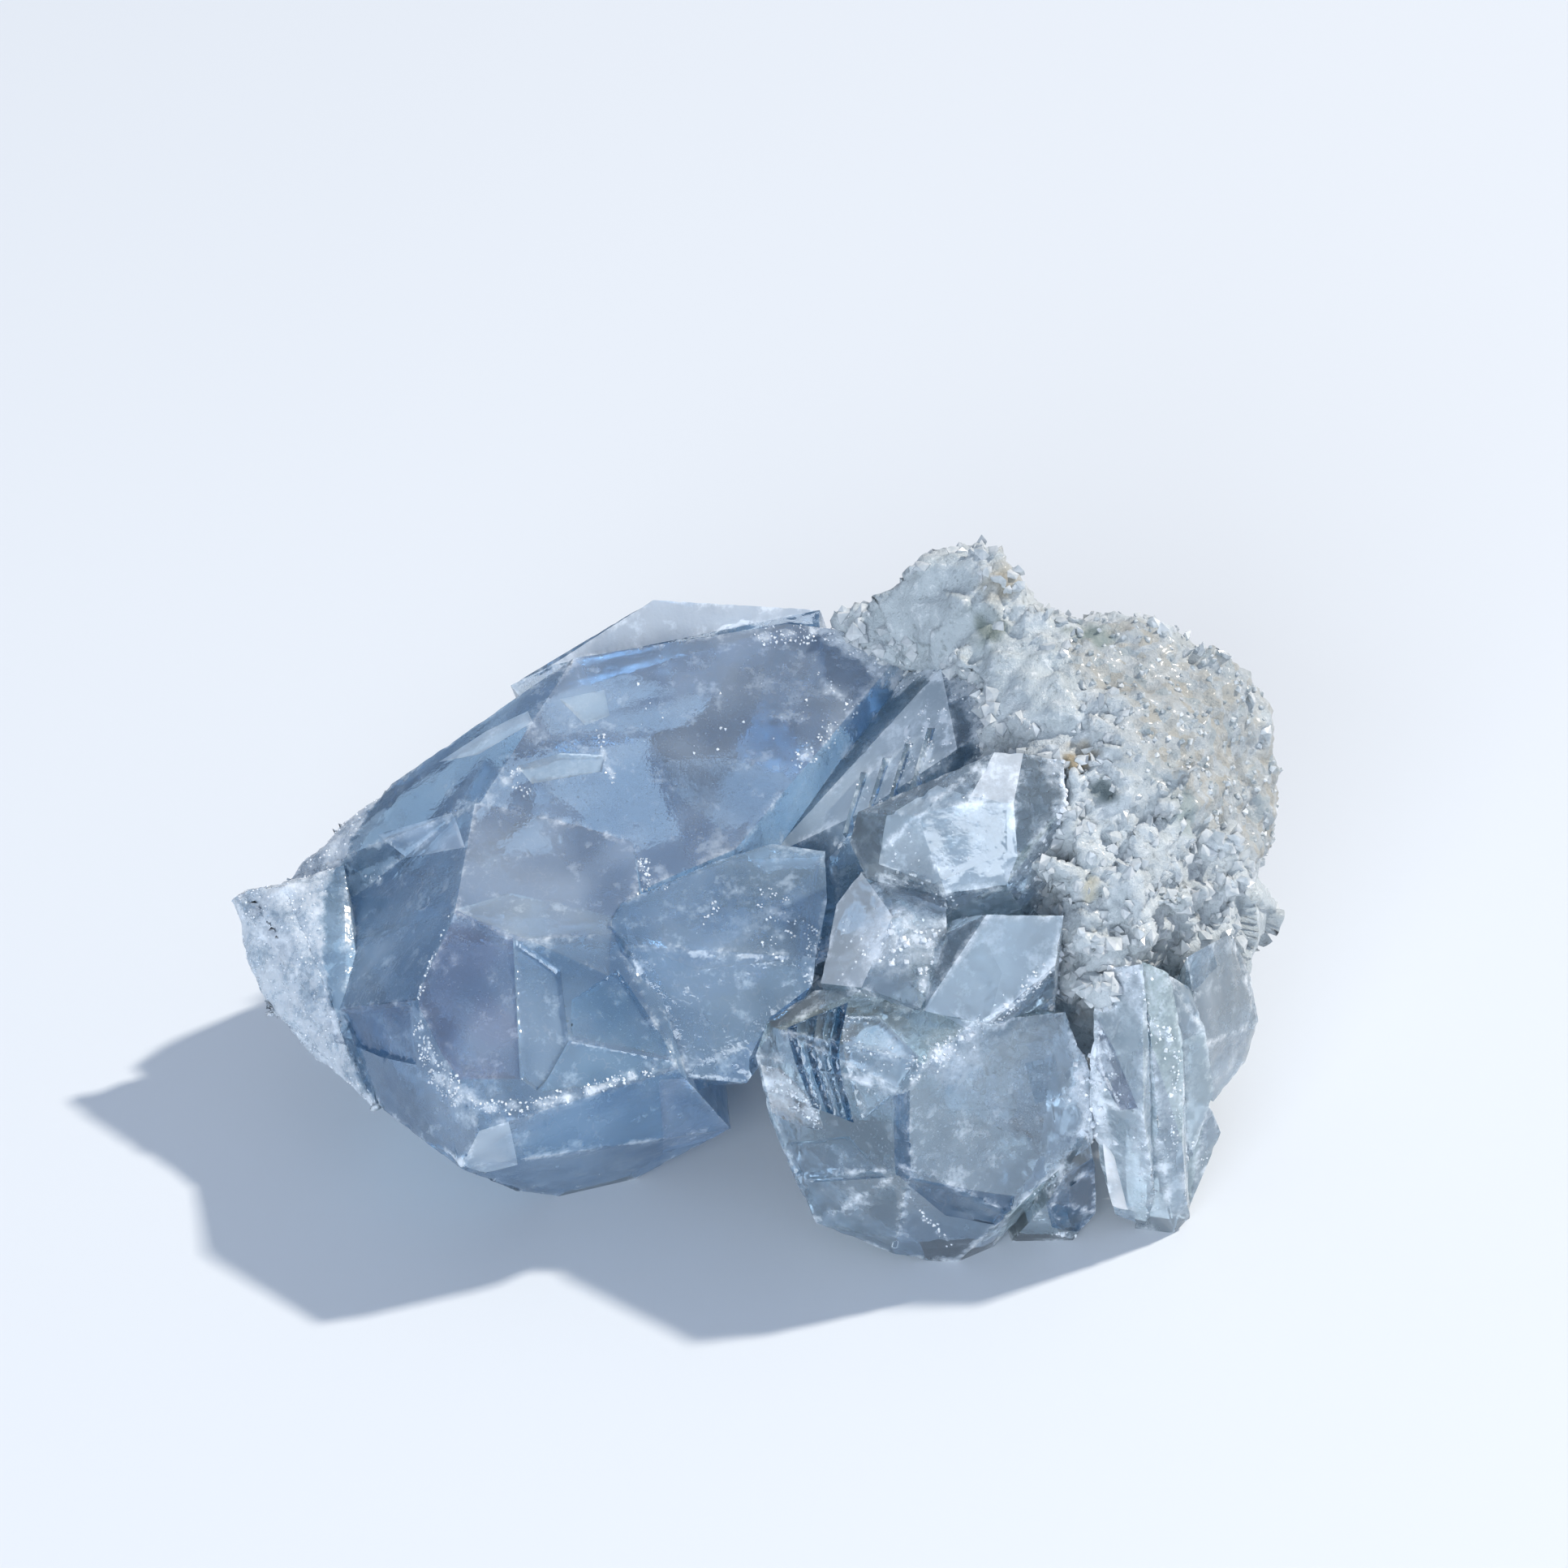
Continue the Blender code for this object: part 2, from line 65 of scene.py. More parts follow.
def colour_setting(label, default, words):
    """A colour property with three channels."""
    return FloatVectorProperty(name=label, description=words, subtype="COLOR", size=3,
                               min=0, max=1, default=default)


class CrystalLooks(bpy.types.PropertyGroup):
    """Sizes and colours of the crystals."""
    fine_cell: FloatProperty(name="Fine cell", description="Size of the mesh beside crisp edges",
                             default=0.22 * MM, min=0.1 * MM, unit="LENGTH")
    coarse_cell: FloatProperty(name="Coarse cell", description="Size of the mesh on the facets",
                               default=0.65 * MM, min=0.1 * MM, unit="LENGTH")
    refraction: FloatProperty(name="Refraction", description="Index of refraction of celestite",
                              default=1.62, min=1, max=2.5)
    fleck: FloatProperty(name="Fleck", description="Width of the largest flecks inside",
                         default=0.17 * MM, min=0, unit="LENGTH")
    wisp_density: FloatProperty(name="Wisps", description="Flecks in a square millimetre of wisp",
                                default=11, min=0)
    chip_size: FloatProperty(name="Chip size", description="Width of the largest bright chips",
                             default=0.30 * MM, min=0, unit="LENGTH")
    sugar_density: FloatProperty(name="Sugar", description="White grains in a square millimetre "
                                 "where crystals meet the rock", default=2.2, min=0)
    body: colour_setting("Body", (0.38, 0.68, 0.90), "Colour of light that has crossed crystal")
    shade: colour_setting("Shade", (0.20, 0.30, 0.46), "Colour of the darker clouds")
    frost: colour_setting("Frost", (0.76, 0.84, 0.93), "Colour of frosted and veiled places")
    # The chip colour whitens worn edges: part real chipped wear, part a painted highlight along the
    # edges
    chip: colour_setting("Chip", (0.90, 0.93, 0.97), "Colour of chipped edges and specks")
    blue_depth: FloatProperty(name="Blue depth", description="How fast blue crystal takes up light",
                              default=38, min=0)
    clear_depth: FloatProperty(name="Clear depth", description="How fast clear crystal takes up "
                               "light", default=20, min=0)


class RockLooks(bpy.types.PropertyGroup):
    """Sizes and colours of the rock."""
    cell: FloatProperty(name="Cell", description="Size of the fine mesh's cells",
                        default=0.27 * MM, min=0.1 * MM, unit="LENGTH")
    grain: FloatProperty(name="Grain", description="Width of the sugary grains",
                         default=0.62 * MM, min=0.1 * MM, unit="LENGTH")
    grain_density: FloatProperty(name="Grains", description="Grains in a square millimetre",
                                 default=0.9, min=0)
    shard_size: FloatProperty(name="Shards", description="Width of the largest broken shards",
                              default=1.25 * MM, min=0, unit="LENGTH")
    shard_density: FloatProperty(name="Shard density", description="Shards in a square millimetre",
                                 default=0.75, min=0)
    seam_density: FloatProperty(name="Seam flakes", description="Flakes in a square millimetre "
                                "where the rock meets the crystals", default=0.8, min=0)
    pale: colour_setting("Pale", (0.62, 0.69, 0.74), "Colour of the white grains")
    shard: colour_setting("Shard", (0.86, 0.91, 0.95), "Colour of the broken shards")
    glassy: colour_setting("Glassy", (0.52, 0.60, 0.65), "Colour of the smooth grey rock")
    grey: colour_setting("Grey", (0.34, 0.40, 0.43), "Colour of the grey grains")
    beige: colour_setting("Beige", (0.40, 0.395, 0.355), "Colour of the stained grains")


class StageLooks(bpy.types.PropertyGroup):
    """Floor, lights and camera."""
    floor: colour_setting("Floor", (0.74, 0.79, 0.85), "Colour of the floor")
    sky: colour_setting("Sky", (0.66, 0.76, 0.96), "Colour of the light from all round")
    sky_dim: FloatProperty(name="Dim side", description="Light from the dim side", default=0.30,
                           min=0)
    sky_bright: FloatProperty(name="Bright side", description="Light from the bright side",
                              default=0.50, min=0)
    key_power: FloatProperty(name="Key power", description="Power of the main light in watts",
                             default=57.0, min=0)
    key_size: FloatProperty(name="Key size", description="Width of the main light",
                            default=0.12, min=0, unit="LENGTH")
    fill_power: FloatProperty(name="Fill power", description="Power of the front light in watts",
                              default=8.5, min=0)
    lens: FloatProperty(name="Lens", description="Focal length in millimetres", default=72.2,
                        min=1)


# Small helpers

def mm(point):
    """A point in millimetres as a vector in metres."""
    return Vector(point) * MM


def ripple(point, height, waves, shift=(0, 0, 0)):
    """Smooth noise at a point in millimetres: its height, and its waves in a millimetre."""
    return height * noise.noise(point * waves + Vector(shift))


def smooth_step(low, high, value):
    """0 below low, 1 above high and an even curve between."""
    t = min(max((value - low) / (high - low), 0.0), 1.0)
    return t * t * (3 - 2 * t)


def link(name, mesh):
    """A new object for a mesh, in the scene."""
    piece = bpy.data.objects.new(name, mesh)
    bpy.context.scene.collection.objects.link(piece)
    return piece


def finish_piece(piece, slot, *nodes):
    """Let a piece ride on the specimen and stand for its CAD nodes."""
    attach(piece, "root")
    if nodes:
        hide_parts(*nodes)


def applied(piece):
    """The piece's evaluated mesh, with its modifiers removed."""
    depsgraph = bpy.context.evaluated_depsgraph_get()
    mesh = bpy.data.meshes.new_from_object(piece.evaluated_get(depsgraph))
    piece.modifiers.clear()
    old = piece.data
    piece.data = mesh
    bpy.data.meshes.remove(old)
    return piece


def node_solid(node):
    """A CAD node's solid as a bmesh with its loose triangles merged."""
    bm = bmesh.new()
    bm.from_mesh(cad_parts[node].data)
    bmesh.ops.remove_doubles(bm, verts=bm.verts, dist=WELD)
    bmesh.ops.triangulate(bm, faces=bm.faces)
    bm.normal_update()
    bm.faces.ensure_lookup_table()
    return bm


def fine_piece(name, solid, cell):
    """A dense even mesh of a solid, in a new object."""
    mesh = bpy.data.meshes.new(name)
    solid.to_mesh(mesh)
    piece = link(name, mesh)
    remesh = piece.modifiers.new("fine", "REMESH")
    remesh.mode = "VOXEL"
    remesh.voxel_size = cell
    return applied(piece)


def displaced(mesh, depth):
    """Move each vertex along its normal by depth(point in millimetres, index)."""
    count = len(mesh.vertices)
    places = np.empty(count * 3)
    normals = np.empty(count * 3)
    mesh.vertices.foreach_get("co", places)
    mesh.vertex_normals.foreach_get("vector", normals)
    places = places.reshape(-1, 3)
    normals = normals.reshape(-1, 3)
    moves = np.array([depth(Vector(places[i]) / MM, i) for i in range(count)])
    places += normals * moves[:, None] * MM
    places[:, 2] = np.maximum(places[:, 2], 0.0)
    mesh.vertices.foreach_set("co", places.ravel())
    mesh.update()


def store(mesh, name, kind, domain, values):
    """Keep values on a mesh as a named attribute."""
    field = "value" if kind == "FLOAT" else "color"
    mesh.attributes.new(name, kind, domain).data.foreach_set(field, values)


class Shading:
    """A material whose nodes are added one call at a time."""

    def __init__(self, name):
        self.material = bpy.data.materials.new(name)
        self.material.use_nodes = True
        self.tree = self.material.node_tree
        self.tree.nodes.clear()
        self.output = self.tree.nodes.new("ShaderNodeOutputMaterial")

    def add(self, kind, sockets=None, **settings):
        """Add a node. A socket given as another node's output is linked, else it is set."""
        node = self.tree.nodes.new(f"ShaderNode{kind}")
        for name, value in settings.items():
            setattr(node, name, value)
        for key, value in (sockets or {}).items():
            socket = node.inputs[key]
            if isinstance(value, bpy.types.NodeSocket):
                self.tree.links.new(value, socket)
            else:
                socket.default_value = value
        return node

    def place(self, scale=1.0, stretch=(1, 1, 1), turn=(0, 0, 0)):
        """Object coordinates in millimetres, stretched and turned."""
        where = self.add("TexCoord").outputs["Object"]
        factors = [1000.0 * scale * part for part in stretch]
        mapping = self.add("Mapping", {"Vector": where, "Scale": factors,
                                       "Rotation": [math.radians(angle) for angle in turn]})
        return mapping.outputs["Vector"]

    def noise(self, vector, scale=1.0, detail=4.0, rough=0.55):
        """The factor of a noise pattern."""
        return self.add("TexNoise", {"Vector": vector, "Scale": scale, "Detail": detail,
                                     "Roughness": rough}).outputs["Fac"]

    def band(self, value, low, high, first=0.0, last=1.0):
        """Map a value from low..high to first..last, kept within them."""
        return self.add("MapRange", {"Value": value, "From Min": low, "From Max": high,
                                     "To Min": first, "To Max": last}).outputs["Result"]

    def maths(self, kind, one, two):
        """A maths node of two values."""
        return self.add("Math", {0: one, 1: two}, operation=kind).outputs["Value"]

    def times(self, one, two):
        """The product of two values."""
        return self.maths("MULTIPLY", one, two)

    def plus(self, one, two):
        """The sum of two values."""
        return self.maths("ADD", one, two)

    def mix(self, factor, one, two):
        """Mix two colours."""
        return self.add("Mix", {"Factor": factor, "A": one, "B": two},
                        data_type="RGBA").outputs["Result"]

    def attribute(self, name):
        """A colour or value stored on the mesh."""
        return self.add("Attribute", attribute_name=name)

    def bump(self, height, distance, strength=1.0, normal=None):
        """A bump from a height, with its depth in millimetres."""
        sockets = {"Height": height, "Distance": distance * MM, "Strength": strength}
        if normal is not None:
            sockets["Normal"] = normal
        return self.add("Bump", sockets).outputs["Normal"]

    def finish(self, surface, volume=None):
        """Join the last nodes to the output and return the material."""
        self.tree.links.new(surface.outputs["BSDF"], self.output.inputs["Surface"])
        if volume is not None:
            self.tree.links.new(volume.outputs["Volume"], self.output.inputs["Volume"])
        return self.material


def rgba(colour):
    """A colour with full alpha."""
    return (*colour, 1.0)


# Small things scattered on a surface

def scatter_tree(shape, material):
    """Geometry nodes that set copies of a small shape on a surface, turned at random."""
    tree = bpy.data.node_groups.new("Scatter", "GeometryNodeTree")
    entries = (("Geometry", "Geometry"), ("Density", "Float"), ("Size", "Float"),
               ("Smallest", "Float"), ("Seed", "Int"))
    for name, kind in entries:
        tree.interface.new_socket(name, in_out="INPUT", socket_type=f"NodeSocket{kind}")
    tree.interface.new_socket("Geometry", in_out="OUTPUT", socket_type="NodeSocketGeometry")

    def add(kind, **settings):
        node = tree.nodes.new(kind)
        for name, value in settings.items():
            setattr(node, name, value)
        return node

    source = add("NodeGroupInput")
    spread = add("GeometryNodeDistributePointsOnFaces")
    turn = add("FunctionNodeRandomValue", data_type="FLOAT_VECTOR")
    turn.inputs["Max"].default_value = (math.tau, math.tau, math.tau)
    size = add("FunctionNodeRandomValue", data_type="FLOAT")
    copy = add("GeometryNodeObjectInfo")
    copy.inputs["Object"].default_value = shape
    place = add("GeometryNodeInstanceOnPoints")
    realize = add("GeometryNodeRealizeInstances")
    paint = add("GeometryNodeSetMaterial")
    paint.inputs["Material"].default_value = material
    result = add("NodeGroupOutput")

    joins = ((source, "Geometry", spread, "Mesh"), (source, "Density", spread, "Density"),
             (source, "Seed", spread, "Seed"), (spread, "Points", place, "Points"),
             (copy, "Geometry", place, "Instance"), (place, "Instances", realize, "Geometry"),
             (realize, "Geometry", paint, "Geometry"), (paint, "Geometry", result, "Geometry"))
    for first, output, second, entry in joins:
        tree.links.new(first.outputs[output], second.inputs[entry])
    tree.links.new(turn.outputs[0], place.inputs["Rotation"])
    tree.links.new(source.outputs["Smallest"], size.inputs[2])
    tree.links.new(source.outputs["Size"], size.inputs[3])
    tree.links.new(size.outputs[1], place.inputs["Scale"])
    return tree


def scattered(name, surface, shape, material, density, smallest, largest, seed):
    """A piece of many copies of a shape set on a surface mesh, density in copies per mm2."""
    piece = link(name, surface)
    tree = scatter_tree(shape, material)
    settings = {"Density": density / MM ** 2, "Size": largest, "Smallest": smallest, "Seed": seed}
    modifier = piece.modifiers.new("scatter", "NODES")
    modifier.node_group = tree
    for item in tree.interface.items_tree:
        if item.in_out == "INPUT" and item.name in settings:
            modifier[item.identifier] = settings[item.name]
    applied(piece)
    bpy.data.objects.remove(shape)
    return piece


def angular_shape(name, flatness, seed, corners=8):
    """A small angular body, a metre wide before it is scaled."""
    bm = bmesh.new()
    generator = random.Random(seed)
    for index in range(corners):
        turn = math.tau * index / corners
        rise = (index % 2 - 0.5) * flatness
        reach = generator.uniform(0.35, 0.6)
        bm.verts.new((reach * math.cos(turn), reach * math.sin(turn), rise))
    bm.verts.new((0, 0, 0.75 * flatness))
    bm.verts.new((0, 0, -0.75 * flatness))
    bmesh.ops.convex_hull(bm, input=bm.verts)
    loose = [vertex for vertex in bm.verts if not vertex.link_faces]
    bmesh.ops.delete(bm, geom=loose, context="VERTS")
    mesh = bpy.data.meshes.new(name)
    bm.to_mesh(mesh)
    bm.free()
    return link(name, mesh)


# Crystals

# Each group of crystals: its slot, the nodes it has grown against, the tone and clearness of its
# plain facets, the way it grew, how its veins are turned in degrees, the height of its growth
# steps and the depth of its edge chips in millimetres, how hazy it is from 0 to 1, the largest
# sugary grain as a share of a chip, and whether its tip is frosted
CRYSTALS = {
    "blue_crystals": {
        "slot": "blue_crystal", "neighbours": ("matrix",), "plain": ("blue", 0.82),
        "growth": (33, 9, 12), "turn": (0, 65, 15), "step": 0.05, "chip": 0.07, "haze": 1.0,
        "sugar": 0.6, "frosted_tip": True},
    "clear_crystals": {
        "slot": "clear_crystal", "neighbours": ("matrix", "bladed_crystals"),
        "plain": ("ice", 0.88), "growth": (0, 1, 6), "turn": (8, 0, 0), "step": 0.06,
        "chip": 0.10, "haze": 0.3, "sugar": 1.7, "frosted_tip": False},
    "bladed_crystals": {
        "slot": "bladed_crystal", "neighbours": ("matrix", "clear_crystals"),
        "plain": ("ice", 0.72), "growth": (3, -3.3, -18.5), "turn": (10, -9, 0), "step": 0.12,
        "chip": 0.10, "haze": 0.4, "sugar": 1.7, "frosted_tip": False},
}

# Body tones of the facets, linear RGB
TONES = {
    "lilac": (0.49, 0.61, 0.76),
    "slate": (0.41, 0.59, 0.77),
    "blue": (0.44, 0.64, 0.82),
    "deep": (0.34, 0.58, 0.80),
    "navy": (0.08, 0.24, 0.46),
    "sky": (0.58, 0.74, 0.92),
    "ice": (0.72, 0.87, 1.00),
    "sea": (0.56, 0.68, 0.78),
    "plum": (0.45, 0.53, 0.72),
    "frost": (0.86, 0.93, 1.00),
    "snow": (0.97, 0.98, 1.00),
}

# For each facet that stands out: a point on it, its tone and how see-through it is
FACETS = {
    "blue_crystals": {
        "broad face of the ridge": ((-11.7, 6.6, 21.7), "lilac", 0.78),
        "left end of the ridge": ((-22.4, 6.4, 16.4), "slate", 0.85),
        "top of the front crystal": ((-11.8, -2.2, 18.5), "lilac", 0.74),
        "left face of the front crystal": ((-22.4, -4.3, 13.8), "slate", 0.76),
        "front face of the front crystal": ((-16.3, -10.9, 15.1), "slate", 0.82),
        "right part of the front face": ((-8.6, -11.7, 14.5), "slate", 0.82),
        "lower left face": ((-20.0, -13.9, 10.3), "slate", 0.80),
        "underside of the front": ((-9.6, -15.3, 7.9), "deep", 0.78),
        "top of the middle crystal": ((-2.9, -5.9, 17.7), "blue", 0.82),
        "front of the middle crystal": ((-2.4, -11.8, 13.3), "blue", 0.78),
        "back plate": ((-4.2, 14.6, 24.2), "frost", 0.35),
        "recess": ((8.3, 5.7, 22.5), "sea", 0.35),
    },
    "clear_crystals": {
        "broad face of the rounded crystal": ((12.9, -17.7, 10.3), "ice", 0.82),
        "left face of the rounded crystal": ((3.9, -15.4, 12.7), "ice", 0.95),
        "top of the rounded crystal": ((7.2, -15.8, 15.0), "ice", 0.88),
        "bottom of the rounded crystal": ((12.1, -19.0, 6.2), "sky", 0.86),
        "dark crystal": ((19.0, -16.9, 4.8), "navy", 0.80),
        "smooth face": ((13.7, -13.2, 19.6), "ice", 0.58),
        "fractured face": ((7.7, -9.5, 18.9), "snow", 0.45),
        "front of the pale block": ((11.1, -6.0, 24.0), "ice", 0.48),
        "top of the pale block": ((14.4, -4.0, 26.8), "frost", 0.42),
        "left of the fractured crystal": ((5.4, -9.4, 17.2), "frost", 0.60),
    },
    "bladed_crystals": {
        "left blade": ((21.5, -14.5, 13.8), "ice", 0.74),
        "foot of the blades": ((23.3, -16.3, 6.2), "ice", 0.74),
        "grey facet": ((26.1, -9.1, 16.6), "sea", 0.70),
    },
}

# Steps and panels on the facets: corners, tone, clearness, and how deep the panel is sunk
PATCHES = {
    "blue_crystals": {
        "dark window": ([(-26.0, -6.4, 10.0), (-20.4, -10.5, 14.6), (-20.1, -12.8, 11.4),
            (-22.6, -10.6, 10.0), (-25.3, -8.0, 8.9)], "navy", 0.85, 0.15),
        "purple panel": ([(-18.0, -5.9, 17.8), (-14.4, -7.8, 17.1), (-13.7, -15.4, 12.7),
            (-17.3, -15.2, 12.5), (-20.1, -11.6, 14.3), (-19.4, -8.5, 16.1)], "plum", 0.82, 0.10),
        "slab": ([(-14.4, -7.8, 17.1), (-11.5, -9.5, 16.0), (-10.8, -14.0, 13.4),
            (-12.7, -16.0, 12.3), (-13.7, -15.4, 12.7)], "slate", 0.74, 0.22),
        "dark facet": ([(-10.8, -11.1, 15.1), (-8.1, -9.3, 15.9), (-4.5, -13.8, 12.8),
            (-10.8, -13.0, 14.0)], "deep", 0.80, 0.18),
        "dark band": ([(-10.9, -13.3, 13.8), (-4.3, -14.0, 12.7), (-6.6, -15.0, 12.3),
            (-12.5, -16.1, 12.3)], "deep", 0.75, 0.08),
        "bright patch": ([(-16.7, -18.5, 10.9), (-14.3, -17.9, 12.3), (-14.0, -16.7, 6.7),
            (-15.8, -17.4, 6.5), (-17.4, -18.4, 8.8)], "ice", 0.60, 0.05),
        "right of the underside": ([(-5.6, -14.7, 12.0), (-0.2, -12.2, 10.0), (-1.2, -11.3, 4.0),
            (-5.5, -12.7, 3.4)], "sky", 0.76, 0.10),
        "pale strip": ([(-20.1, 7.9, 18.2), (-17.0, 8.6, 20.2), (-14.3, 8.5, 21.8),
            (-13.9, 7.2, 21.9), (-17.4, 6.7, 19.8)], "ice", 0.50, 0.06),
        "pale wedge": ([(-12.3, 8.7, 22.6), (-9.5, 9.2, 23.0), (-9.1, 7.5, 22.2),
            (-10.6, 6.9, 21.9)], "sea", 0.62, 0.06),
        "pale leaf": ([(-14.8, 4.4, 20.6), (-12.1, 5.1, 21.1), (-9.3, 4.9, 21.1),
            (-9.5, 3.8, 20.7), (-13.8, 3.2, 20.2)], "sea", 0.58, 0.14),
        "pale band": ([(-22.9, 4.1, 14.6), (-18.7, 2.5, 18.3), (-17.7, -1.1, 18.6),
            (-21.8, 1.9, 15.3)], "sky", 0.45, 0.08),
        "left corner of the top": ([(-18.0, -5.8, 17.6), (-14.7, -4.6, 17.9), (-8.5, -6.2, 17.4),
            (-8.6, -9.9, 16.4), (-14.4, -7.5, 17.1)], "sea", 0.72, 0.06),
        "veiled top of the middle crystal": ([(-8.0, -5.4, 17.9), (-1.4, -2.7, 18.9),
            (4.0, -2.5, 19.0), (3.0, -9.0, 16.6), (-3.3, -9.5, 16.4), (-7.5, -8.0, 17.0)], "slate",
            0.76, 0.05),
    },
    "clear_crystals": {
        "sparkling window": ([(0.4, -13.4, 12.0), (1.6, -14.1, 12.3), (3.6, -15.7, 11.1),
            (4.2, -16.5, 9.6), (2.7, -15.7, 9.1), (1.0, -14.6, 9.2)], "snow", 0.80, 0.12),
        "low window": ([(2.0, -15.6, 7.7), (5.6, -17.3, 9.9), (7.8, -19.1, 8.2), (3.4, -17.1, 5.8),
            (1.7, -15.9, 6.1)], "slate", 0.88, 0.15),
        "veiled facet": ([(5.0, -13.3, 15.9), (7.1, -13.9, 16.5), (9.6, -16.6, 15.6),
            (8.3, -17.9, 14.1), (5.8, -18.3, 12.5)], "ice", 0.75, 0.15),
        "dark edge": ([(8.1, -17.8, 13.6), (9.0, -18.1, 14.3), (9.2, -19.8, 8.7),
            (8.3, -19.3, 8.6)], "navy", 0.85, 0.05),
        "dark band": ([(8.3, -19.5, 8.9), (11.0, -19.3, 8.0), (15.5, -18.9, 5.8),
            (15.0, -18.5, 3.6), (11.4, -18.8, 4.8)], "navy", 0.85, 0.10),
        "dark core": ([(15.9, -15.1, 13.7), (17.7, -14.3, 13.6), (18.3, -15.1, 11.1),
            (16.6, -15.8, 11.1)], "slate", 0.80, 0.0),
        "navy face": ([(17.1, -18.2, 6.1), (20.5, -15.9, 6.8), (21.4, -15.4, 1.9),
            (20.6, -16.0, 0.2), (18.4, -17.4, 1.8)], "navy", 0.80, 0.08),
        "blue lower half": ([(10.2, -14.1, 17.2), (11.7, -12.4, 19.3), (13.5, -12.0, 20.5),
            (14.4, -13.7, 19.5), (13.7, -15.4, 17.8), (12.3, -15.6, 16.9)], "ice", 0.66, 0.0),
        "grey panel": ([(7.7, -5.3, 24.1), (10.6, -5.0, 26.0), (14.8, -6.0, 25.9),
            (14.9, -7.1, 23.1), (10.6, -7.3, 20.8), (7.3, -6.3, 21.3)], "ice", 0.60, 0.03),
    },
    "bladed_crystals": {
        "purple blade": ([(20.2, -13.0, 15.3), (21.2, -14.1, 14.1), (22.6, -16.3, 11.2),
            (21.6, -15.9, 10.6), (20.2, -14.1, 12.7)], "plum", 0.80, 0.15),
        # A painted highlight: a white sliver where the blade's face catches the light
        "painted highlight sliver": ([(20.8, -15.1, 7.6), (21.6, -15.4, 6.3), (22.7, -15.5, 1.8),
            (21.7, -14.9, 1.7)], "snow", 0.20, 0.10),
        "dark round": ([(24.2, -10.8, 18.1), (25.0, -9.5, 18.9), (27.2, -7.4, 17.2),
            (27.9, -7.8, 14.8), (26.2, -9.9, 14.7), (24.8, -11.0, 16.1)], "slate", 0.82, 0.0),
    },
}
# The striped window of the rounded crystal: its corners, and the tone and depth of each stripe
WINDOW = [(1.9, -13.1, 14.6), (4.6, -13.6, 16.7), (5.6, -17.6, 11.1), (3.4, -15.9, 10.8)]
WINDOW_STRIPES = (("navy", 0.30), ("deep", 0.10), ("navy", 0.34), ("slate", 0.12),
                  ("deep", 0.30), ("navy", 0.45))
WINDOW_CLEARNESS = 0.88

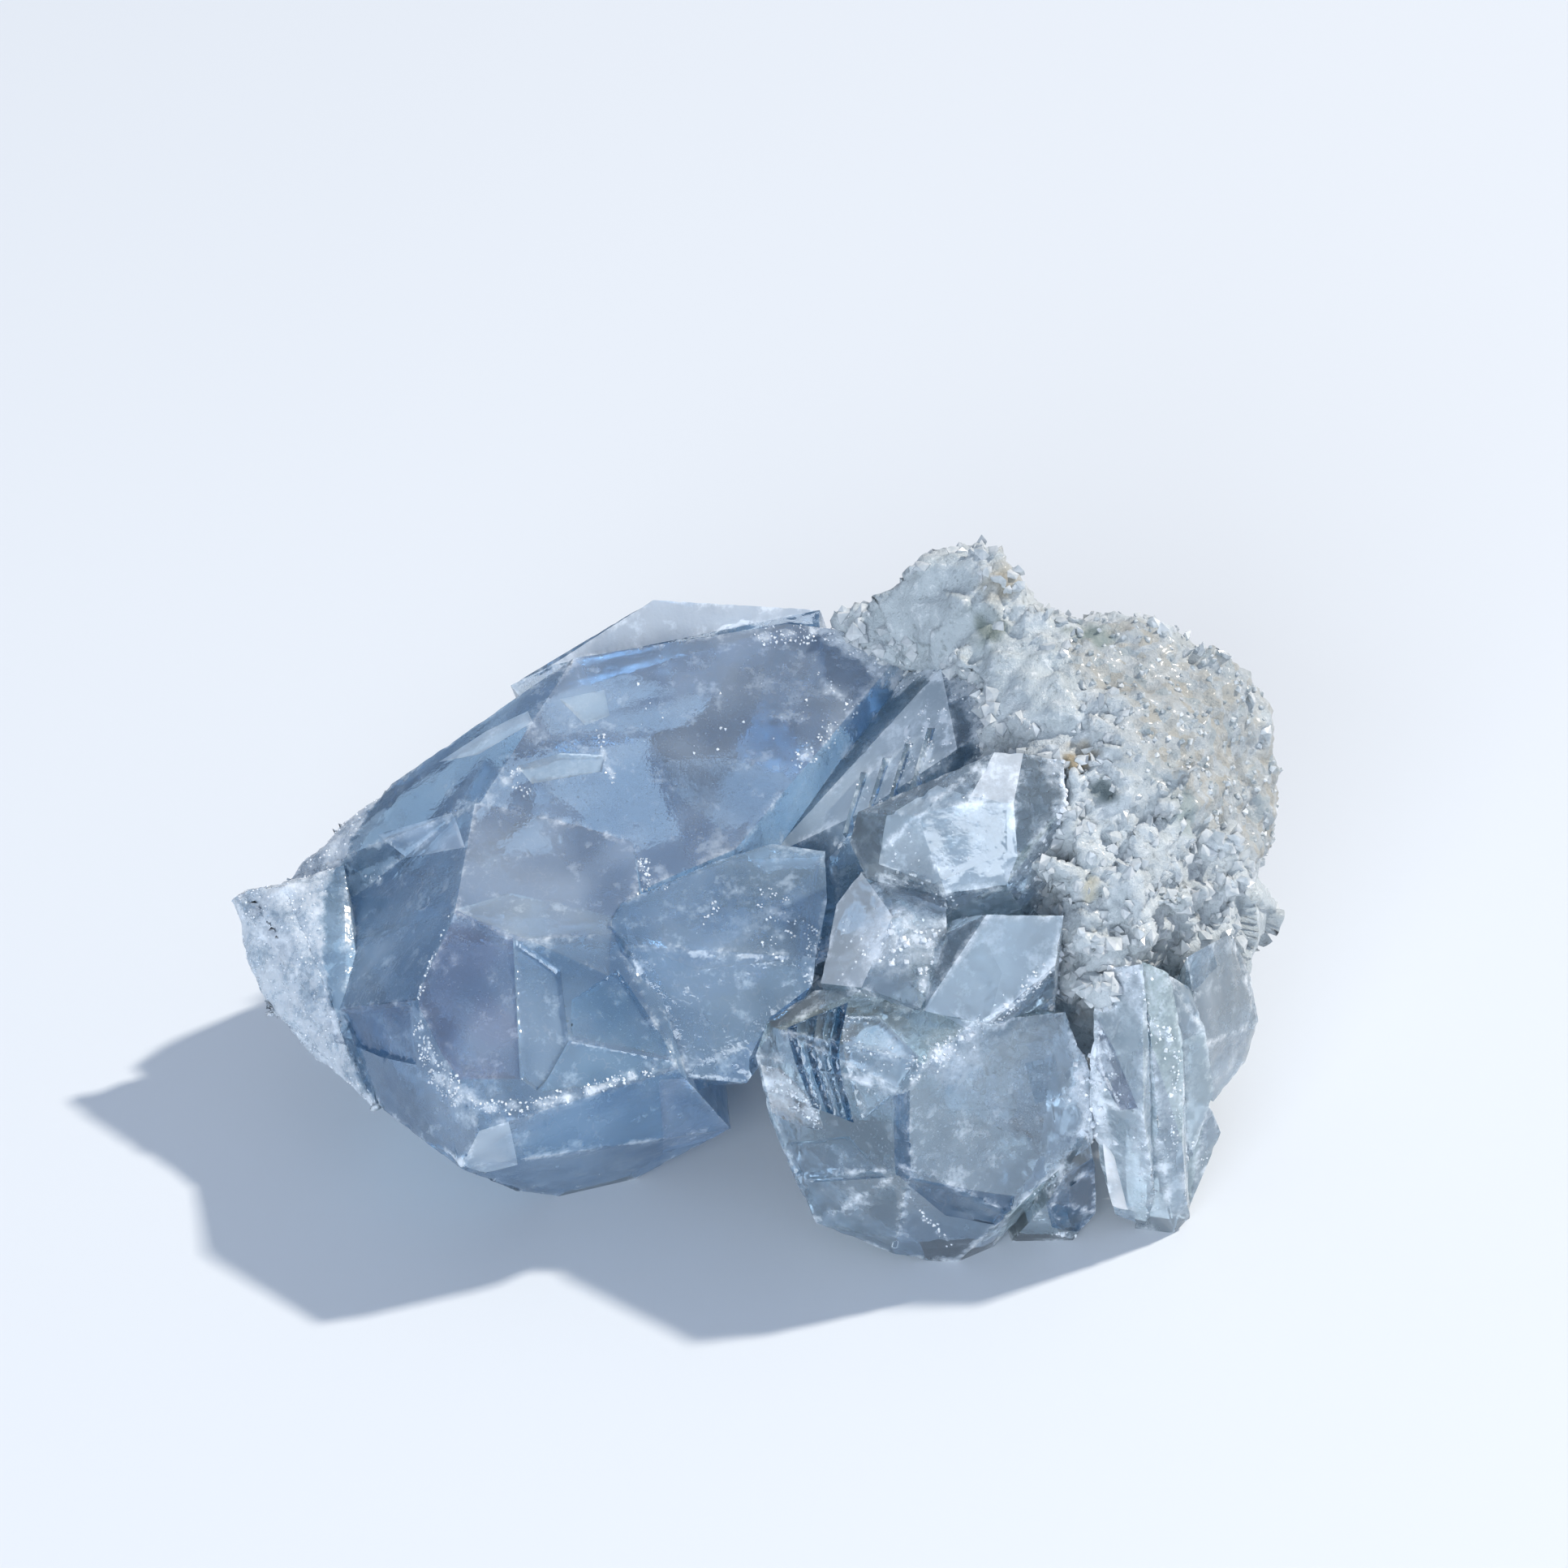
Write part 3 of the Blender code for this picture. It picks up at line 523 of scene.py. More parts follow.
# Glints on the facets: a line, the width of the streak of chips round it, chips per mm2
GLINTS = {
    "blue_crystals": {
        "crest": ([(0.7, 12.4, 24.7), (4.6, 12.7, 25.0)], 0.8, 14),
        "right edge": ([(4.0, 9.3, 23.6), (5.8, 7.6, 22.9), (4.8, 5.7, 22.1), (3.0, 4.2, 21.4)],
            0.7, 9),
        "front edge": ([(-17.6, -15.3, 12.3), (-15.6, -16.8, 11.7), (-12.7, -16.7, 11.9),
            (-9.9, -15.9, 12.2), (-6.1, -14.5, 12.6)], 0.45, 16),
        "left of the front edge": ([(-19.7, -12.2, 13.3), (-18.9, -13.9, 11.9),
            (-17.3, -15.9, 11.9)], 0.9, 18),
        "upright edge": ([(-18.1, -5.4, 17.6), (-18.9, -7.4, 16.4), (-20.0, -10.7, 14.8)], 0.16,
            22),
        "middle crystal": ([(1.0, -5.4, 17.9), (2.2, -6.9, 17.3), (1.5, -8.2, 16.8)], 1.1, 7),
        "middle streak": ([(-4.2, -8.3, 17.2), (-2.2, -5.6, 17.9)], 0.3, 12),
        "middle crystal's end": ([(3.7, -7.4, 17.1), (3.6, -10.0, 15.5)], 0.6, 14),
        "white mark": ([(-6.8, -2.0, 18.3), (-6.6, -3.8, 17.5), (-5.3, -4.4, 18.0)], 0.3, 30),
        "wedge's foot": ([(-9.7, 6.5, 21.8), (-9.3, 4.4, 20.9), (-8.8, 3.3, 20.5)], 0.3, 16),
        "leaf's foot": ([(-14.6, 4.1, 20.5), (-15.6, 3.5, 20.2), (-14.0, 2.6, 19.9)], 0.3, 14),
        "left corner": ([(-24.3, 2.3, 13.5), (-23.5, 1.6, 13.7)], 0.3, 12),
        "recess": ([(6.7, 1.8, 20.7), (7.2, 0.3, 20.9), (9.9, 1.9, 22.8), (10.9, 3.6, 24.0)], 0.6,
            6),
        "left rib": ([(9.3, 6.3, 23.2), (9.6, 1.7, 22.6)], 0.25, 16),
        "middle rib": ([(10.4, 6.0, 23.9), (10.7, 1.6, 23.3)], 0.35, 22),
        "right rib": ([(11.5, 5.0, 24.5), (11.7, 1.8, 24.1)], 0.35, 18),
        "broad face": ([(-8, 8, 22.2), (-2, 7, 21.8), (2, 8, 22.4)], 2.6, 0.5),
    },
    "clear_crystals": {
        "window": ([(1.3, -14.0, 11.7), (2.7, -15.2, 10.8), (3.7, -16.0, 10.0)], 0.7, 24),
        "lower line": ([(8.9, -19.1, 6.8), (10.2, -18.8, 4.6), (11.8, -18.3, 1.8)], 0.3, 9),
        "upper edge": ([(9.5, -17.1, 15.3), (11.9, -16.1, 15.9), (13.7, -15.5, 17.1),
            (15.1, -15.0, 18.4), (16.6, -14.5, 19.8)], 0.8, 20),
        "veiled facet": ([(5.8, -14.1, 15.3), (7.7, -15.5, 15.4), (6.7, -16.7, 13.9)], 1.1, 5),
        "block": ([(9.7, -5.8, 23.4), (11.8, -6.5, 23.2), (12.9, -6.0, 25.0)], 1.2, 3.5),
        "foot of the block": ([(8.3, -5.9, 21.5), (12.1, -7.4, 21.2)], 0.9, 3),
        "fractured crystal": ([(11.1, -7.8, 20.0), (12.1, -8.0, 18.8)], 0.6, 9),
        "fractured streak": ([(10.6, -9.8, 19.2), (9.9, -12.8, 17.6)], 0.45, 14),
        "fractured face": ([(6.3, -8.2, 18.4), (8.2, -9.6, 19.0), (6.3, -11.1, 17.1)], 1.6, 3),
        "right foot of the rounded crystal": ([(18.2, -17.0, 6.2), (16.6, -17.6, 4.6)], 0.3, 14),
        "dark crystal's foot": ([(18.5, -16.5, 0.9), (20.2, -15.9, 0.7)], 0.5, 12),
    },
    "bladed_crystals": {
        "upper chips": ([(22.5, -13.1, 18.9), (23.3, -14.1, 15.7), (24.4, -14.2, 14.2)], 0.4, 12),
        "left chips": ([(20.3, -12.6, 15.4), (20.9, -14.2, 13.5), (21.6, -15.5, 11.5)], 0.3, 16),
        "frost": ([(25.8, -15.2, 6.9), (27.1, -13.7, 4.3)], 0.5, 9),
        "right streak": ([(24.2, -13.9, 15.1), (25.1, -14.5, 12.0), (24.8, -15.7, 7.0)], 0.5, 9),
        "foot": ([(22.8, -16.2, 8.3), (23.2, -16.3, 6.8), (24.2, -15.5, 1.9)], 0.5, 9),
    },
}

# Cloudy spots on the facets: a middle, how far it reaches and how frosted it is
CLOUDS = {
    "blue_crystals": [((-12.2, 5.5, 21.5), 5.0, 0.25), ((-1.0, -6.0, 17.5), 4.0, 0.30),
                      ((-18.0, 4.5, 18.5), 4.5, 0.28), ((9.5, 4.0, 23.0), 4.0, 0.35),
                      ((2.0, 9.0, 23.5), 4.0, 0.30), ((-17.0, -15.5, 12.0), 3.0, 0.35)],
    "clear_crystals": [((8.6, -9.8, 18.8), 4.3, 0.75), ((11.0, -6.0, 24.0), 4.5, 0.30),
                       ((13.5, -4.5, 26.0), 4.0, 0.45), ((1.6, -14.3, 10.8), 1.8, 0.75),
                       ((12.0, -16.2, 15.5), 3.2, 0.55), ((7.6, -15.3, 15.4), 2.4, 0.50),
                       ((13.0, -17.8, 10.0), 5.5, 0.30), ((6.0, -17.5, 5.5), 3.0, 0.40)],
    "bladed_crystals": [((22.5, -13.4, 17.5), 3.5, 0.60), ((24.6, -14.8, 11.0), 3.5, 0.55),
                        ((22.5, -15.8, 6.5), 4.0, 0.45), ((26.5, -9.0, 17.5), 4.0, 0.45)],
}

FROST_EDGE = (-26.8, -1.5, 0.036)     # where the frosted tip meets the blue crystal, a parabola
FACET_ANGLE = math.radians(2.5)       # triangles closer than this lie on one facet
SHARP_ANGLE = math.radians(9)         # facets that meet at more than this have a crisp edge
TINT_SHIFT = (0.80, 1.15)             # the darkest and lightest plain facet, as shares of its tone
PATCH_COSINE = 0.4                    # a patch marks faces that look its way at least this much
PATCH_REACH = 1.6 * MM                # and whose planes pass this near its middle
PATCH_SHARE = 0.55                    # a patch's share of the tint where it fades into its facet
CUT_SNAP = 0.01 * MM                  # corners this near a cut are taken to lie on it
SPLIT_ROUNDS = 9                      # how often long edges are split at most
CELL_GROWTH = 0.9                     # how fast the cells grow with the distance to crisp edges
CLOSE_UP = 0.22                       # how far crystals swell towards those beside them, mm
SEAM_REACH = (1.7, 0.9)               # seams are frosted from the first gap to the second, mm
SEAM_FOOT = (5.0, 8.0)                # and they fade out between these heights, mm
SEAM_FROST = 0.9                      # how frosted the seams between crystals and rock are
SUGAR_FROST = 0.72                    # sugary grains stand where a facet is more frosted than this
WEAR_AND_HIGHLIGHT_REACH = 0.45                     # how far the whitened edges, part wear and part painted highlight, reach on to the facets, mm
LINE_STEP = 0.4                       # how close a line of glints is searched, in its widths
GLINT_GAPS = -0.08                    # glints leave out places whose noise is below this
FULL_GLINTS = 12                      # chips per mm2 from which the band under them is all frost


def number_facets(solid):
    """Give every face of a solid the number of the flat facet it lies on."""
    layer = solid.faces.layers.int.new("facet")
    for face in solid.faces:
        face[layer] = -1
    number = 0
    for start in solid.faces:
        if start[layer] >= 0:
            continue
        start[layer] = number
        front = [start]
        while front:
            face = front.pop()
            for edge in face.edges:
                for other in edge.link_faces:
                    if other[layer] < 0 and face.normal.angle(other.normal, 0) < FACET_ANGLE:
                        other[layer] = number
                        front.append(other)
        number += 1
    return layer, number


def facet_tints(node, solid, layer, count):
    """The tint and clearness of each facet, by its number."""
    solid.faces.ensure_lookup_table()
    tree = BVHTree.FromBMesh(solid)
    tone, clearness = CRYSTALS[node]["plain"]
    generator = random.Random(5)
    tints = []
    for _ in range(count):
        shift = generator.uniform(*TINT_SHIFT)
        tints.append([min(part * shift, 1.0) for part in TONES[tone]] + [clearness])
    for place, tone, clearness in FACETS[node].values():
        number = solid.faces[tree.find_nearest(mm(place))[2]][layer]
        tints[number] = [*TONES[tone], clearness]
    return tints


def is_crisp(edge, layer):
    """Whether two facets meet at the edge with a clear angle."""
    faces = edge.link_faces
    if len(faces) != 2 or faces[0][layer] == faces[1][layer]:
        return False
    return faces[0].normal.angle(faces[1].normal, 0) > SHARP_ANGLE


def is_border(edge, layer):
    """Whether the edge lies between two patches."""
    faces = edge.link_faces
    return len(faces) == 2 and faces[0][layer] != faces[1][layer]


def search_tree(places):
    """A search tree of the places, each under its own number."""
    tree = KDTree(len(places))
    for index, place in enumerate(places):
        tree.insert(place, index)
    tree.balance()
    return tree


def edge_points(edges, step):
    """A search tree of points along edges, in metres."""
    places = []
    for edge in edges:
        start, end = (vertex.co for vertex in edge.verts)
        count = max(1, math.ceil((end - start).length / step))
        places.extend(start.lerp(end, i / count) for i in range(count + 1))
    return search_tree(places)


def facing_of(points):
    """The unit normal of a polygon."""
    total = Vector()
    for here, there in zip(points, points[1:] + points[:1]):
        total += here.cross(there)
    return total.normalized()


def cut_patch(solid, tree, layer, corners, number):
    """Cut a patch's outline into the faces under it and mark them with its number."""
    points = [mm(corner) for corner in corners]
    middle = sum(points, Vector()) / len(points)
    facing = facing_of(points)
    if facing.dot(tree.find_nearest(middle)[1]) < 0:
        facing.negate()
        points.reverse()
    sides = [(start, (end - start).cross(facing).normalized())
             for start, end in zip(points, points[1:] + points[:1])]

    def under(face, limits):
        centre = face.calc_center_median()
        off_plane = abs((face.verts[0].co - middle).dot(face.normal))
        if face.normal.dot(facing) < PATCH_COSINE or off_plane > PATCH_REACH:
            return False
        return all((centre - start).dot(side) < 0 for start, side in limits)

    for index, (start, side) in enumerate(sides):
        faces = [face for face in solid.faces if under(face, sides[:index])]
        edges = {edge for face in faces for edge in face.edges}
        verts = {vertex for face in faces for vertex in face.verts}
        bmesh.ops.bisect_plane(solid, geom=[*verts, *edges, *faces], dist=CUT_SNAP,
                               plane_co=start, plane_no=side)
    for face in solid.faces:
        if under(face, sides):
            face[layer] = number


def striped(corners, count):
    """Split a four-cornered patch into upright stripes."""
    first, second, third, fourth = (Vector(corner) for corner in corners)
    stripes = []
    for index in range(count):
        left, right = index / count, (index + 1) / count
        stripes.append([first.lerp(second, left), first.lerp(second, right),
                        fourth.lerp(third, right), fourth.lerp(third, left)])
    return stripes


def add_patches(node, solid):
    """Cut all the node's patches. Returns the layer, and each patch's tint and depth."""
    layer = solid.faces.layers.int.new("patch")
    tree = BVHTree.FromBMesh(solid)
    patches = list(PATCHES[node].values())
    if node == "clear_crystals":
        for corners, (tone, sink) in zip(striped(WINDOW, len(WINDOW_STRIPES)), WINDOW_STRIPES):
            patches.append((corners, tone, WINDOW_CLEARNESS, sink))
    finishes = [None]
    for number, (corners, tone, clearness, sink) in enumerate(patches, 1):
        cut_patch(solid, tree, layer, corners, number)
        finishes.append(([*TONES[tone], clearness], sink))
    solid.normal_update()
    return layer, finishes


def refine(solid, tree, fine, coarse):
    """Split long edges: to the fine length beside crisp edges, to the coarse one elsewhere."""
    for _ in range(SPLIT_ROUNDS):
        long_edges = []
        for edge in solid.edges:
            start, end = (vertex.co for vertex in edge.verts)
            length = (end - start).length
            if length <= fine:
                continue
            away = tree.find((start + end) / 2)[2]
            if length > min(coarse, fine + CELL_GROWTH * away):
                long_edges.append(edge)
        if not long_edges:
            return
        bmesh.ops.subdivide_edges(solid, edges=long_edges, cuts=1, use_grid_fill=False)
        wide = [face for face in solid.faces if len(face.verts) > 3]
        bmesh.ops.triangulate(solid, faces=wide, quad_method="SHORT_EDGE", ngon_method="BEAUTY")


def frost_at(point):
    """1 on the frosted flake at the left tip, 0 on the clear blue."""
    base, middle, curve = FROST_EDGE
    edge = base + curve * (point.y - middle) ** 2
    return smooth_step(-0.15, 0.15, edge - point.x + ripple(point, 0.25, 1.3))


def solid_trees(nodes):
    """A search tree of the surface of each node's solid."""
    trees = []
    for node in nodes:
        solid = node_solid(node)
        trees.append(BVHTree.FromBMesh(solid))
        solid.free()
    return trees


def gap_to(trees, place):
    """The distance from a place to the nearest of the solids."""
    return min(tree.find_nearest(place)[3] for tree in trees)


def seam_at(place, trees):
    """1 where a crystal has grown against a neighbour, 0 away from it and near the floor."""
    gap = gap_to(trees, place) / MM
    ragged = ripple(place / MM, 0.9, 0.9) + ripple(place / MM, 0.4, 2.3)
    return smooth_step(*SEAM_REACH, gap - ragged) * smooth_step(*SEAM_FOOT, place.z / MM)


def crystal_relief(kind):
    """Low growth steps on the facets, drawn out along the growth, and chips on the edges.

    A frosted tip is lumpy instead.
    """
    along = Vector(kind["growth"]).normalized()

    def relief(point, away):
        if kind["frosted_tip"] and frost_at(point) > 0.5:
            lumps = ripple(point, 0.28, 0.7) + ripple(point, 0.12, 1.9)
            return lumps - 0.25 * smooth_step(0.6, 0.0, away)
        drawn = point - along * (along.dot(point) * 0.88)
        step = round(ripple(drawn, 4, 0.6, (9, 2, 4))) / 4
        waves = ripple(point, 0.6, 0.2) + ripple(drawn, 0.35, 1.9) + 0.9 * step
        pit = max(ripple(point, 1, 1.1, (3, 7, 1)) - 0.55, 0.0)
        facet = kind["step"] * waves - 0.7 * pit
        bite = max(ripple(point, 1, 1.4, (5, 1, 8)) + 0.1, 0.0) ** 1.5
        worn = -kind["chip"] * (0.25 + 1.8 * bite)
        return facet * smooth_step(0.15, 0.8, away) + worn * smooth_step(0.32, 0.0, away)

    return relief


def near_line(tree, line, width):
    """Numbers and distances of the tree's places within the width of a line."""
    found = {}
    for start, end in zip(line, line[1:]):
        start, end = mm(start), mm(end)
        count = math.ceil((end - start).length / (LINE_STEP * width * MM))
        for index in range(count + 1):
            for _, number, away in tree.find_range(start.lerp(end, index / count), width * MM):
                found[number] = min(away / MM, found.get(number, width))
    return found


def cloud_frost(node, point):
    """How frosted a point is by the node's cloudy spots."""
    return max(strength * smooth_step(reach, 0.3 * reach, (point - Vector(middle)).length)
               for middle, reach, strength in CLOUDS[node])


def glint_frost(node, verts, frost):
    """Add a frosted band to the frost values along each line of glints."""
    tree = search_tree([vertex.co for vertex in verts])
    for line, width, density in GLINTS[node].values():
        strength = min(density / FULL_GLINTS, 1.0)
        for index, away in near_line(tree, line, width).items():
            point = verts[index].co / MM
            ragged = smooth_step(-0.3, 0.2, ripple(point, 1, 1.2))
            band = strength * ragged * smooth_step(width, 0.3 * width, away)
            frost[index] = max(frost[index], band)


def glint_faces(node, mesh):
    """The faces of a crystal mesh along each line of glints, one mesh for each density."""
    tree = search_tree([face.center for face in mesh.polygons])
    strips = []
    for line, width, density in GLINTS[node].values():
        chosen = near_line(tree, line, width)
        strip = bmesh.new()
        for index in sorted(chosen):
            face = mesh.polygons[index]
            point = face.center / MM
            if ripple(point, 1, 1.1) + ripple(point, 0.5, 3) < GLINT_GAPS:
                continue
            strip.faces.new([strip.verts.new(mesh.vertices[v].co) for v in face.vertices])
        strips.append((strip, density))
    return strips


class CrystalBody:
    """One group of crystals, on its way from the CAD solid to the finished mesh."""

    def __init__(self, node, looks):
        self.node = node
        self.kind = CRYSTALS[node]
        self.around = solid_trees(self.kind["neighbours"])
        self.solid = node_solid(node)
        self.patch, self.finishes = add_patches(node, self.solid)
        self.facet, count = number_facets(self.solid)
        self.tints = facet_tints(node, self.solid, self.facet, count)
        crisp = [edge for edge in self.solid.edges if is_crisp(edge, self.facet)]
        borders = [edge for edge in self.solid.edges if is_border(edge, self.patch)]
        step = looks.fine_cell / 2
        self.crisp_tree = edge_points(crisp, step)
        refine(self.solid, edge_points(crisp + borders, step), looks.fine_cell,
               looks.coarse_cell)

    def edge_gap(self, vertex):
        """How far a vertex lies from the nearest crisp edge, in millimetres."""
        return self.crisp_tree.find(vertex.co)[2] / MM

    def shape(self):
        """Move the vertices by the relief, sink the patches and close up to other crystals."""
        relief = crystal_relief(self.kind)
        other_crystals = self.around[1:]
        self.solid.normal_update()
        moves = []
        for vertex in self.solid.verts:
            away = self.edge_gap(vertex)
            point = vertex.co / MM
            depth = relief(point, away)
            patches = {face[self.patch] for face in vertex.link_faces}
            if len(patches) == 1 and 0 not in patches:
                depth -= self.finishes[patches.pop()][1] * smooth_step(0.05, 0.3, away)
            for other in other_crystals:
                gap = other.find_nearest(vertex.co)[3] / MM
                depth += CLOSE_UP * smooth_step(1.0, 0.6, gap)
            moves.append(vertex.normal * (depth * smooth_step(0.0, 0.6, point.z) * MM))
        for vertex, move in zip(self.solid.verts, moves):
            vertex.co += move
            vertex.co.z = max(vertex.co.z, 0.0)

    def tint_values(self):
        """Tint and clearness of each face corner. Patches fade into their facet in places."""
        values = []
        for face in self.solid.faces:
            patch = face[self.patch]
            under = self.tints[face[self.facet]]
            over = self.finishes[patch][0] if patch else under
            for vertex in face.verts:
                fade = smooth_step(-0.35, 0.15, ripple(vertex.co / MM, 1, 0.42))
                share = PATCH_SHARE + (1 - PATCH_SHARE) * fade
                values.extend(low + (high - low) * share for low, high in zip(under, over))
        return values

    def frost_values(self):
        """How frosted each vertex is by the tip, the seams, the cloudy spots and the glints."""
        values = []
        for vertex in self.solid.verts:
            point = vertex.co / MM
            tip = frost_at(point) if self.kind["frosted_tip"] else 0.0
            values.append(max(tip, SEAM_FROST * seam_at(vertex.co, self.around),
                              cloud_frost(self.node, point)))
        self.solid.verts.ensure_lookup_table()
        glint_frost(self.node, self.solid.verts, values)
        return values

    def mesh(self):
        """The finished mesh, with tint, frost and edge wear plus painted highlight stored on it."""
        for edge in self.solid.edges:
            edge.smooth = not (is_crisp(edge, self.facet) or is_border(edge, self.patch))
        for face in self.solid.faces:
            face.smooth = True
        mesh = bpy.data.meshes.new(f"{self.node}_fine")
        self.solid.to_mesh(mesh)
        wear_and_highlight = [smooth_step(WEAR_AND_HIGHLIGHT_REACH, 0.0, self.edge_gap(vertex)) for vertex in self.solid.verts]
        store(mesh, "tint", "FLOAT_COLOR", "CORNER", self.tint_values())
        store(mesh, "frost", "FLOAT", "POINT", self.frost_values())
        store(mesh, "wear_and_highlight", "FLOAT", "POINT", wear_and_highlight)
        return mesh


def crystal_material(node, looks, depth):
    """See-through crystal: tinted facets, clouds, wisps, worn edges with a painted highlight, and
    frost.
    """
    haze = CRYSTALS[node]["haze"]
    make = Shading(f"{node}_glass")
    stored = make.attribute("tint")
    frosted = make.attribute("frost").outputs["Fac"]
    wear_and_highlight = make.attribute("wear_and_highlight").outputs["Fac"]
    where = make.place()
    drawn = make.place(1.0, (1, 1, 0.16), CRYSTALS[node]["turn"])
    clouds = make.noise(where, 0.13, 2, 0.6)
    veins = make.noise(drawn, 0.9, 2, 0.6)
    wisps = make.noise(where, 0.62, 4, 0.72)
    lines = make.noise(drawn, 1.7, 2, 0.6)
    fine = make.noise(where, 3.2, 2, 0.65)

    thin = make.maths("ABSOLUTE", make.maths("SUBTRACT", veins, 0.5), 0)
    vein = make.times(make.band(thin, 0.014, 0.0), make.band(clouds, 0.45, 0.6))
    wisp = make.band(wisps, 0.56, 0.72)
    cloud = make.band(clouds, 0.40, 0.66)
    # Edges are whitened near crisp edges: part chipped wear, part a painted highlight along them
    worn = make.times(wear_and_highlight, make.band(wisps, 0.46, 0.62))
    mottle = make.plus(make.band(wisps, 0.25, 0.75, -0.6, 0.6),
                       make.band(fine, 0.25, 0.75, -0.3, 0.3))
    frost = make.times(make.band(make.plus(frosted, mottle), 0.05, 1.15),
                       make.band(frosted, 0.0, 0.7))

    colour = stored.outputs["Color"]
    colour = make.mix(make.band(clouds, 0.6, 0.35, 0, 0.2 * haze), colour, rgba(looks.shade))
    colour = make.mix(make.times(cloud, 0.22 * haze), colour, rgba(looks.frost))
    colour = make.mix(make.times(wisp, 0.30), colour, rgba(looks.frost))
    colour = make.mix(make.times(vein, 0.35), colour, rgba(looks.frost))
    colour = make.mix(make.times(worn, 0.8 - 0.3 * haze), colour, rgba(looks.chip))
    colour = make.mix(frost, colour, rgba(looks.frost))

    milk = make.times(wisp, 0.25)
    milk = make.plus(milk, make.times(cloud, 0.15 * haze))
    milk = make.plus(milk, make.times(worn, 0.6 - 0.3 * haze))
    milk = make.plus(milk, make.times(frost, 0.5))
    clearness = make.maths("SUBTRACT", stored.outputs["Alpha"], milk)
    roughness = make.plus(make.band(wisps, 0.45, 0.75, 0.03 * haze, 0.25 * haze),
                          make.times(frost, 0.3))
    bumps = make.bump(lines, 0.04 * haze, 0.6)
    bumps = make.bump(fine, 0.06, make.band(frost, 0.0, 1.0, 0.25 * haze, 1.0), bumps)

    surface = make.add("BsdfPrincipled", {
        "Base Color": colour, "Roughness": roughness, "IOR": looks.refraction,
        "Transmission Weight": clearness, "Normal": bumps,
        "Coat Weight": 0.2, "Coat Roughness": 0.04})
    volume = make.add("VolumeAbsorption", {"Color": rgba(looks.body), "Density": depth})
    return make.finish(surface, volume)


def make_crystals(node, depth):
    """One group of crystals as a fine see-through piece that replaces its CAD node."""
    looks = bpy.context.scene.crystal_looks
    body = CrystalBody(node, looks)
    body.shape()
    mesh = body.mesh()
    body.solid.free()
    mesh.materials.append(crystal_material(node, looks, depth))
    finish_piece(link(f"{node}_fine", mesh), CRYSTALS[node]["slot"], node)
    make_glints(node, mesh, looks)


def chosen_faces(mesh, chosen):
    """A mesh of the faces that chosen(face) picks."""
    bm = bmesh.new()
    bm.from_mesh(mesh)
    bm.faces.ensure_lookup_table()
    others = [bm.faces[face.index] for face in mesh.polygons if not chosen(face)]
    bmesh.ops.delete(bm, geom=others, context="FACES")
    part = bpy.data.meshes.new("part")
    bm.to_mesh(part)
    bm.free()
    return part


def make_glints(node, mesh, looks):
    """Small bright chips that stand on the crystals along lines and in spots."""
    material = fleck_material(f"{node}_glint", looks)
    joined = bmesh.new()

    def scatter(surface, shape, density, smallest, largest, seed):
        bits = scattered("bits", surface, shape, material, density, smallest * looks.chip_size,
                         largest * looks.chip_size, seed)
        joined.from_mesh(bits.data)
        bpy.data.objects.remove(bits)

    for seed, (strip, density) in enumerate(glint_faces(node, mesh)):
        surface = bpy.data.meshes.new("strip")
        strip.to_mesh(surface)
        strip.free()
        chip = angular_shape("chip", flatness=0.35, seed=4, corners=5)
        scatter(surface, chip, density, 0.25, 1.0, seed)
    frost = mesh.attributes["frost"].data
    seam = chosen_faces(mesh, lambda face: frost[face.vertices[0]].value > SUGAR_FROST)
    grain = angular_shape("grain", flatness=0.6, seed=3, corners=6)
    scatter(seam, grain, looks.sugar_density, 0.3, CRYSTALS[node]["sugar"], 3)
    glints = bpy.data.meshes.new(f"{node}_glints")
    joined.to_mesh(glints)
    joined.free()
    glints.materials.append(material)
    finish_piece(link(f"{node}_glints", glints), CRYSTALS[node]["slot"])


class MakeBlueCrystals(bpy.types.Operator):
    """Build the blue crystals at the left"""
    bl_idname = "celestite.blue_crystals"
    bl_label = "Blue crystals"

    def execute(self, context):
        make_crystals("blue_crystals", context.scene.crystal_looks.blue_depth)
        return {"FINISHED"}


class MakeClearCrystals(bpy.types.Operator):
    """Build the clear crystals at the front right"""
    bl_idname = "celestite.clear_crystals"
    bl_label = "Clear crystals"

    def execute(self, context):
        make_crystals("clear_crystals", context.scene.crystal_looks.clear_depth)
        return {"FINISHED"}


class MakeBladedCrystals(bpy.types.Operator):
    """Build the bundle of blades at the lower right"""
    bl_idname = "celestite.bladed_crystals"
    bl_label = "Bladed crystals"

    def execute(self, context):
        make_crystals("bladed_crystals", context.scene.crystal_looks.clear_depth)
        return {"FINISHED"}


